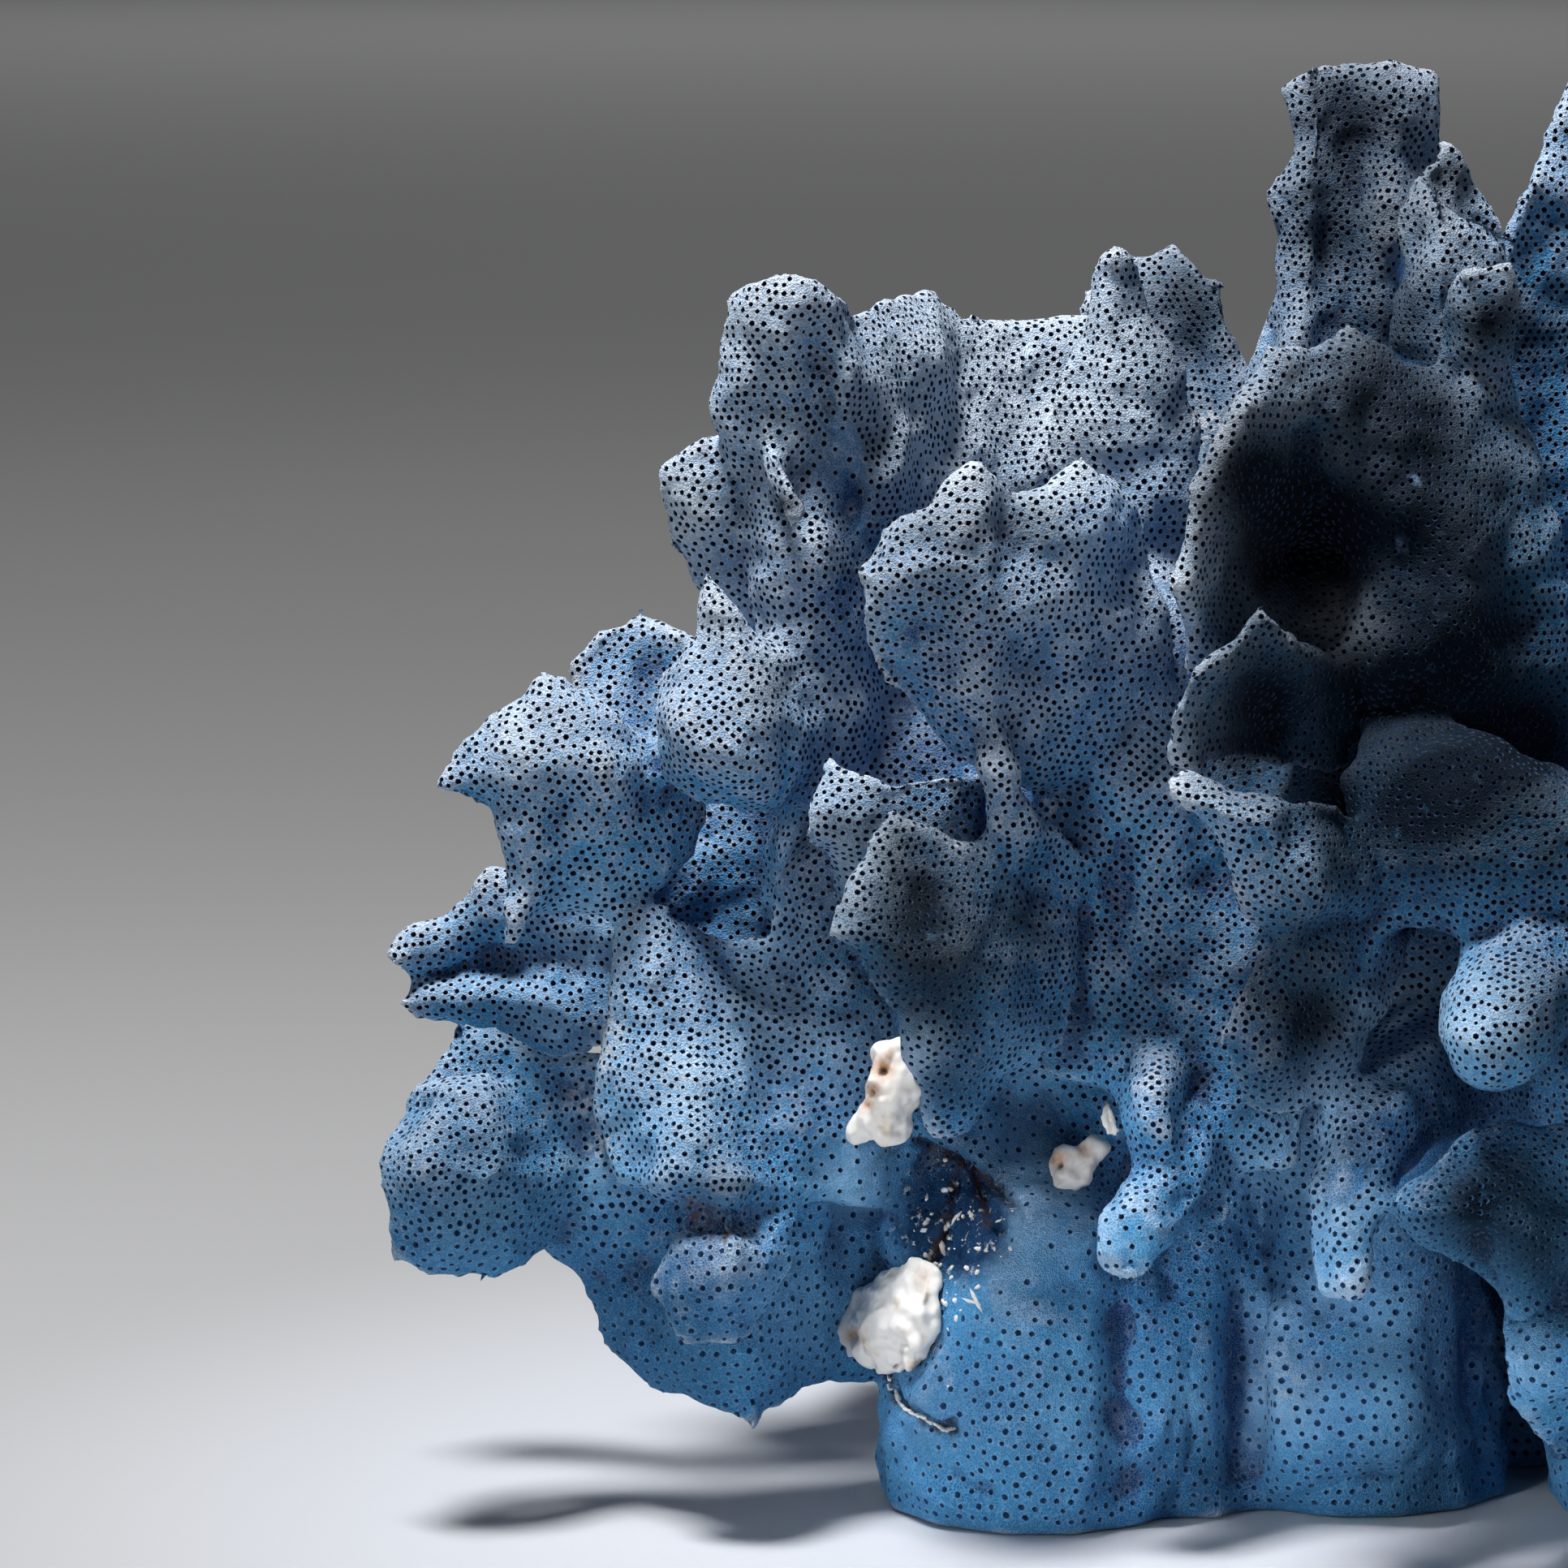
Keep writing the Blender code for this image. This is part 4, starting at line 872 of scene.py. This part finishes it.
coralLook = {
    "deep": (0.018, 0.21, 0.49),
    "blue": (0.08, 0.45, 0.82),
    # pale grey: partly dust, partly painted light on open, upward, standing and high places, with painted
    # shade on the right
    "dustAndPaintedLight": (0.52, 0.66, 0.86),
    "dustAndPaintedLightFrom": 0.64,
    "dustAndPaintedLightBy": {"openness": 0.45, "upward": 0.35, "standing": 0.3, "fine": 0.9, "height": 4.9,
               "right": -0.38},
    "rim": (0.80, 0.85, 0.92),
    "rimFrom": 0.22,
    "rimGain": 1.7,
    "rimShare": 0.9,
    # painted shade in creases and in closed places
    "creaseFrom": -0.12,
    "creaseShade": 2.3,
    "creaseShadeTint": (0.16, 0.30, 0.42),
    "closedFrom": 0.52,  # openness below which a place gets painted shade
    "closedShade": 2.8,
    "cellTint": (0.66, 0.76, 0.86),
    "netScale": 2400,  # cells in a metre of the fine sponge between the pores
    "netPale": (0.80, 0.86, 0.94),
    "netShare": 0.45,
    "lipShare": 0.45,  # how pale the pores' lips are
    # painted shade
    "shadeGain": 1.08,
    "shadeLeft": (0.014, 0.02, 0.026),  # what the shaded places keep of their colour
    "shadeRim": 0.25,  # share of the shade that stays off the rims
    # colours of the painted light, low down and high up
    "paintedLightLow": (0.33, 0.66, 1.0),
    "paintedLightHigh": (0.78, 0.88, 0.98),
    "paintedLightFrom": 0.04,  # m above the ground, where the painted light begins to turn pale
    "pale": (0.82, 0.83, 0.85),
    "dirt": (0.10, 0.055, 0.025),
    "gnawed": (0.012, 0.05, 0.13),
    "gnawedGain": 1.4,
    "flake": (0.72, 0.72, 0.70),
    "crack": (0.07, 0.035, 0.018),
    "spongeBump": (0.9, 0.16 * mm),  # strength and depth
    "gritBump": (0.8, 0.35 * mm),
}


def coralFinish():
    made, nodes, links, shader = newMaterial("blue skeleton", 0.9, 0.1)
    place = nodes.new("ShaderNodeTexCoord").outputs["Object"]

    def calc(operation):
        return lambda one, two, clamp=False: maths(nodes, links, operation, one, two, clamp)

    def blend(share, one, two, how="MIX"):
        return mixed(nodes, links, share, one, two, how)

    def share(name):
        return attribute(nodes, name).outputs["Fac"]

    times, plus, minus, larger = map(calc, ("MULTIPLY", "ADD", "SUBTRACT", "MAXIMUM"))
    broad = noiseNode(nodes, links, place, 40, 3)
    fine = noiseNode(nodes, links, place, 380, 4)
    net = nodes.new("ShaderNodeTexVoronoi")
    net.feature = "DISTANCE_TO_EDGE"
    net.inputs["Scale"].default_value = coralLook["netScale"]
    links.new(place, net.inputs["Vector"])
    wall = ramp(nodes, links, net.outputs["Distance"], ((0.03, (1, 1, 1)), (0.25, (0, 0, 0))))
    apart = nodes.new("ShaderNodeSeparateXYZ")
    links.new(place, apart.inputs[0])
    across, height = apart.outputs[0], apart.outputs[2]

    # Blue all over, turning paler and greyer on what is open, high, upright or on the left: partly grey
    # dust, partly painted light, with the right side kept darker as painted shade.
    patches = times(minus(broad, 0.3), 2.5, True)
    base = blend(patches, coralLook["deep"], coralLook["blue"])
    causes = {"openness": share("openness"), "upward": share("upward"), "standing": share("standing"),
              "fine": minus(fine, 0.5), "height": height,
              "right": times(plus(across, 0.02), 22.0, True)}
    dustAndPaintedLight = 0.0
    for name, cause in causes.items():
        dustAndPaintedLight = plus(dustAndPaintedLight, times(cause, coralLook["dustAndPaintedLightBy"][name]))
    dustAndPaintedLight = minus(dustAndPaintedLight, coralLook["dustAndPaintedLightFrom"], True)
    colour = blend(dustAndPaintedLight, base, coralLook["dustAndPaintedLight"])

    # Pale rims, and painted shade in creases and closed corners.
    crest = times(minus(share("standing"), coralLook["rimFrom"]), coralLook["rimGain"], True)
    edge = times(times(share("rim"), crest), plus(fine, 0.35, True))
    colour = blend(times(edge, coralLook["rimShare"]), colour, coralLook["rim"])
    crease = times(minus(coralLook["creaseFrom"], share("standing")), coralLook["creaseShade"], True)
    closed = times(minus(coralLook["closedFrom"], share("openness")), coralLook["closedShade"], True)
    plain = minus(1.0, times(share("paintedLight"), 0.9))
    hidden = times(larger(crease, closed), plain)
    colour = blend(hidden, colour, blend(1.0, colour, coralLook["creaseShadeTint"], "MULTIPLY"))

    # The fine sponge between the pores, and the lips of the pores.
    walls = times(wall, coralLook["netShare"])
    cells = blend(minus(1.0, wall), (1, 1, 1), coralLook["cellTint"])
    colour = blend(1.0, colour, cells, "MULTIPLY")
    colour = blend(times(walls, plus(dustAndPaintedLight, 0.25, True)), colour, coralLook["netPale"])
    ring = plus(times(dustAndPaintedLight, coralLook["lipShare"]), 0.12)
    colour = blend(times(share("lip"), ring), colour, coralLook["netPale"])

    # Painted shade and painted light at places that are shaded or bright in the photograph, and places
    # that are pale or dirty there.
    shade = times(times(share("shade"), coralLook["shadeGain"], True), plus(fine, 0.62, True))
    shade = times(shade, minus(1.0, times(edge, coralLook["shadeRim"])))
    colour = blend(shade, colour, blend(1.0, colour, coralLook["shadeLeft"], "MULTIPLY"))
    # painted light, saturated blue low down and pale higher up
    paintedLight = times(share("paintedLight"), plus(fine, 0.3, True))
    high = times(minus(height, coralLook["paintedLightFrom"]), 14.0, True)
    colour = blend(paintedLight, colour, blend(high, coralLook["paintedLightLow"], coralLook["paintedLightHigh"]))
    grains = times(minus(noiseNode(nodes, links, place, 900, 2, 0.6), 0.42), 5.0, True)
    colour = blend(times(share("pale"), grains), colour, coralLook["pale"])
    colour = blend(times(share("dirt"), grains), colour, coralLook["dirt"])

    # The damaged patch and its cracks.
    flakes = minus(noiseNode(nodes, links, place, 620, 3, 0.65), 0.60)
    gnawed = blend(times(flakes, 14.0, True), coralLook["gnawed"], coralLook["flake"])
    colour = blend(times(share("patch"), coralLook["gnawedGain"], True), colour, gnawed)
    crack = times(share("crack"), plus(fine, 0.5), True)
    colour = blend(crack, colour, coralLook["crack"])
    links.new(colour, shader.inputs["Base Color"])
    sponge = bumped(nodes, links, wall, *coralLook["spongeBump"])
    grit = noiseNode(nodes, links, place, 1100, 2, 0.6)
    links.new(bumped(nodes, links, grit, *coralLook["gritBump"], sponge), shader.inputs["Normal"])
    return made


poreShade = {  # painted shade inside the pores, colours from the bottom of a pore to its lip
    "high": ((0.0, (0.002, 0.004, 0.012)), (0.75, (0.008, 0.018, 0.05)), (1.0, (0.05, 0.09, 0.17))),
    "low": ((0.0, (0.01, 0.04, 0.11)), (0.75, (0.02, 0.08, 0.19)), (1.0, (0.05, 0.15, 0.30))),
    "highFrom": 0.075,  # m above the ground
}


def poreFinish():
    made, nodes, links, shader = newMaterial("pore depths painted shade", 0.95, 0.1)
    lip = attribute(nodes, "lip").outputs["Fac"]
    # painted shade, darkest at the bottom of each pore
    dark = ramp(nodes, links, lip, poreShade["high"])
    blue = ramp(nodes, links, lip, poreShade["low"])
    apart = nodes.new("ShaderNodeSeparateXYZ")
    links.new(nodes.new("ShaderNodeTexCoord").outputs["Object"], apart.inputs[0])
    low = maths(nodes, links, "SUBTRACT", poreShade["highFrom"], apart.outputs[2])
    low = maths(nodes, links, "MULTIPLY", low, 25.0, True)
    links.new(mixed(nodes, links, low, dark, blue), shader.inputs["Base Color"])
    return made


coralPaint = coralFinish()
porePaint = poreFinish()


def makePieces(mesh, order):
    layer = mesh.attributes.new("wholeNormal", "FLOAT_VECTOR", "CORNER")
    layer.data.foreach_set("vector", rows(mesh.corner_normals, "vector", 3).ravel())
    for number, name in enumerate(order):
        bm = opened(mesh)
        mark = bm.faces.layers.int["piece"]
        bmesh.ops.delete(bm, geom=[face for face in bm.faces if face[mark] != number], context="FACES")
        data = meshFrom(bm, name)
        data.normals_split_custom_set(rows(data.attributes["wholeNormal"].data, "vector", 3).tolist())
        for spare in ("wholeNormal", "piece"):
            data.attributes.remove(data.attributes[spare])
        data.materials.append(coralPaint)
        data.materials.append(porePaint)
        item = placed(name, data)
        nodes = pieceNodes.get(name, ("trunk",))
        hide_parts(*nodes)
        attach(item, "root")
        print("piece", name, len(data.polygons), "triangles")


makePieces(wholeMesh, order)


# Shells grown onto the coral: lumpy chalk with brown stains, and painted shade in their sunk openings.
shellLook = {
    "grain": 0.4 * mm,
    "softPasses": 5,
    "lumps": ((5, 1.3), (2.4, 0.9), (1.0, 0.3)),  # size and height, mm
    "white": (0.96, 0.94, 0.90),
    "cream": (0.84, 0.76, 0.64),
    "stain": (0.40, 0.16, 0.03),
    # painted shade in the sunk openings
    "hole": (0.05, 0.025, 0.012),
    "holeDeep": 1.1 * mm,
    "facing": 0.4,
}
stainSpots = {  # across, up, reach, strength in the photograph
    "tube_shell": ((-67, 59.5, 1.8, 1.0), (-68.3, 56.6, 1.2, 1.0), (-69, 54.6, 1.0, 0.9),
                   (-66.2, 61.3, 1.0, 0.7)),
    "gap_shell": ((-43, 47, 1.6, 0.9), (-39.5, 48.3, 1.2, 0.8)),
    "edge_shell": ((-36, 55.5, 1.3, 1.0), (-35.4, 49, 0.8, 0.5)),
    "white_crust": ((-71, 23, 1.1, 1.0), (-62.5, 18.6, 1.0, 0.8), (-61.5, 31, 1.2, 0.5)),
}
holeSpots = {
    "tube_shell": ((-67.2, 59.2, 0.8, 1.0), (-68.4, 56.2, 0.45, 1.0)),
    "gap_shell": ((-42.8, 46.2, 0.8, 0.8),),
    "edge_shell": ((-36, 56.3, 0.5, 1.0),),
    "white_crust": ((-71, 22.8, 0.3, 1.0), (-65.5, 18.3, 0.6, 0.7)),
}


def shellFinish():
    made, nodes, links, shader = newMaterial("chalky shell", 0.62, 0.5)
    place = nodes.new("ShaderNodeTexCoord").outputs["Object"]
    broad = noiseNode(nodes, links, place, 260, 3)
    chalk = ramp(nodes, links, broad, ((0.3, shellLook["cream"]), (0.46, shellLook["white"])))
    fine = noiseNode(nodes, links, place, 1500, 3, 0.6)
    stain = maths(nodes, links, "MULTIPLY", attribute(nodes, "stain").outputs["Fac"],
                  maths(nodes, links, "ADD", fine, 0.35), True)
    colour = mixed(nodes, links, stain, chalk, shellLook["stain"])
    # painted shade in the sunk openings
    colour = mixed(nodes, links, attribute(nodes, "hole").outputs["Fac"], colour, shellLook["hole"])
    links.new(colour, shader.inputs["Base Color"])
    links.new(bumped(nodes, links, fine, 0.5, 0.1 * mm), shader.inputs["Normal"])
    return made


def spotShare(places, spots):
    share = np.zeros(len(places))
    for across, up, reach, strength in spots:
        share = np.maximum(share, nearness(places, across, up, reach) * strength)
    return share


def makeShell(name, finish):
    mesh = remeshed(nodeCopies((name,)), shellLook["grain"])
    edges = edgesOf(mesh)
    points = softened(pointsOf(mesh), edges, shellLook["softPasses"])
    putPoints(mesh, points)
    normals = normalsOf(mesh)
    swell = sum(noiseAt(points, size, seed=7.0) * height * mm for size, height in shellLook["lumps"])
    hole = spotShare(drawnPlaces(points), holeSpots[name]) * facing(normals, shellLook["facing"])
    points = points + normals * (swell - hole * shellLook["holeDeep"])[:, None]
    putPoints(mesh, points)
    store(mesh, "hole", eased(hole, 0.35, 0.75))
    store(mesh, "stain", spotShare(drawnPlaces(points), stainSpots[name]))
    triangulate(mesh)
    for face in mesh.polygons:
        face.use_smooth = True
    mesh.materials.append(finish)
    item = placed(name + "Skin", mesh)
    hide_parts(name)
    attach(item, "root")
    print("shell", name, len(mesh.polygons), "triangles")


shellPaint = shellFinish()
for shellName in shellNodes:
    makeShell(shellName, shellPaint)


# Crumbs of shell in the damaged patch, and a cream thread in the crack below it.
crumbLook = {
    "rods": (  # from and to in the photograph, and thickness, mm
        ((-57.5, 38), (-56, 40), 0.45), ((-59, 36), (-58.5, 34), 0.5), ((-51.5, 38.5), (-48.5, 40.5), 0.6),
        ((-59.6, 29.2), (-53.2, 27.2), 0.5), ((-55, 29.5), (-53.2, 26.0), 0.35),
    ),
    "rodLift": 0.15 * mm,
    "specks": 60,
    "speckSpread": ((-58, 34), (4.5, 10)),
    "speckSize": (0.12, 0.5),
    "speckLong": 1.4,
    "thread": (  # mm in the photograph
        (-66, 18), (-65.2, 15.5), (-64.6, 13.6), (-62.8, 12.2), (-60.5, 11.0), (-58.4, 9.9), (-57, 10.2),
    ),
    "threadThick": 0.4,
    "threadSteps": 4,  # crumbs between one point of the thread and the next
    "threadOverlap": 0.8,
}


def seenAt(tree, u, v):
    way = (drawnPoint(u, v) - eye).normalized()
    return tree.ray_cast(eye, way, 2.0)


def addCrumb(bm, centre, axis, length, thick):
    made = bmesh.ops.create_icosphere(bm, subdivisions=1, radius=1.0)
    turn = axis.to_track_quat("Z", "Y").to_matrix().to_4x4()
    size = Matrix.Diagonal((thick, thick * random.uniform(0.7, 1.0), length, 1))
    bmesh.ops.transform(bm, matrix=Matrix.Translation(centre) @ turn @ size, verts=made["verts"])
    for vert in made["verts"]:
        vert.co += Vector([random.uniform(-0.18, 0.18) * thick for _ in range(3)])


def makeCrumbs(mesh, finish):
    tree = treeOf(mesh)
    bm = bmesh.new()
    for start, end, thick in crumbLook["rods"]:
        one, two = seenAt(tree, *start), seenAt(tree, *end)
        if one[0] is None or two[0] is None:
            continue
        middle = (one[0] + two[0]) / 2 + one[1] * crumbLook["rodLift"]
        addCrumb(bm, middle, two[0] - one[0], (two[0] - one[0]).length / 2, thick * mm)
    (u, v), (wide, high) = crumbLook["speckSpread"]
    for _ in range(crumbLook["specks"]):
        hit = seenAt(tree, u + random.gauss(0, wide / 2), v + random.gauss(0, high / 2))
        if hit[0] is not None:
            size = random.uniform(*crumbLook["speckSize"]) * mm
            addCrumb(bm, hit[0], Vector([random.uniform(-1, 1) for _ in range(3)]),
                     size * crumbLook["speckLong"], size)
    path = [seenAt(tree, *place) for place in crumbLook["thread"]]
    steps = crumbLook["threadSteps"]
    for one, two in zip(path, path[1:]):
        for step in range(steps):
            near = tree.find_nearest(one[0].lerp(two[0], (step + 0.5) / steps))
            length = (two[0] - one[0]).length / steps * crumbLook["threadOverlap"]
            thick = crumbLook["threadThick"] * random.uniform(0.7, 1.2) * mm
            addCrumb(bm, near[0], two[0] - one[0], length, thick)
    bmesh.ops.recalc_face_normals(bm, faces=bm.faces)
    for face in bm.faces:
        face.smooth = True
    data = meshFrom(bm, "crumbs")
    data.materials.append(finish)
    item = placed("crumbs", data)
    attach(item, "root")
    print("crumbs", len(data.polygons), "triangles")


makeCrumbs(wholeMesh, shellPaint)


# A pale floor that runs on as the backdrop, with a painted falloff of light in its colour, three lamps and
# a weak room light.
lightLook = {
    "lamps": (  # place, size in m, power in W, spread in degrees, aim
        ((-0.25, -0.17, 0.98), 0.18, 12.5, 180, (-0.02, 0.0, 0.08)),  # overhead, on the coral
        ((0.0, 6.1, 2.8), 2.4, 26, 180, (0.0, 1.2, 0.0)),  # on the backdrop
        ((-0.55, -0.70, 0.25), 0.10, 0.026, 14, (-0.02, -0.05, 0.015)),  # on the foot
    ),
    "floorHalf": 25,  # m
    "room": (0.052, 0.053, 0.056),
    # painted light on the floor: pale near the coral, greyer further out, pale again far off
    "floorNear": (0.61, 0.63, 0.675),
    "floorMiddle": (0.44, 0.44, 0.445),
    "floorFar": (0.72, 0.72, 0.72),
    "floorStops": (0.10, 0.23, 0.50, 1.6),  # m out, where the colours above begin or end
}


def floorPaintedLightFinish():
    made, nodes, links, shader = newMaterial("floor", 0.8, 0.1)
    distance = nodes.new("ShaderNodeVectorMath")
    distance.operation = "LENGTH"
    links.new(nodes.new("ShaderNodeTexCoord").outputs["Object"], distance.inputs[0])
    # the floor's colour fades with distance from the coral as painted light
    far = lightLook["floorStops"][-1]
    out = maths(nodes, links, "DIVIDE", distance.outputs["Value"], far, True)
    colours = ("floorNear", "floorMiddle", "floorMiddle", "floorFar")
    stops = [(stop / far, lightLook[colour]) for stop, colour in zip(lightLook["floorStops"], colours)]
    links.new(ramp(nodes, links, out, stops, "EASE"), shader.inputs["Base Color"])
    return made


def makeRoom():
    bm = bmesh.new()
    bmesh.ops.create_grid(bm, x_segments=8, y_segments=8, size=lightLook["floorHalf"])
    data = meshFrom(bm, "floor")
    data.materials.append(floorPaintedLightFinish())
    floor = placed("floor", data)
    for place, size, power, spread, aim in lightLook["lamps"]:
        lamp = bpy.data.lights.new("lamp", "AREA")
        lamp.energy = power
        lamp.size = size
        lamp.spread = math.radians(spread)
        item = placed("lamp", lamp)
        item.location = place
        item.rotation_euler = (Vector(place) - Vector(aim)).to_track_quat("Z", "Y").to_euler()
    world = bpy.data.worlds.new("room")
    world.use_nodes = True
    world.node_tree.nodes["Background"].inputs[0].default_value = (*lightLook["room"], 1)
    scene.world = world


makeRoom()
print("room lit")
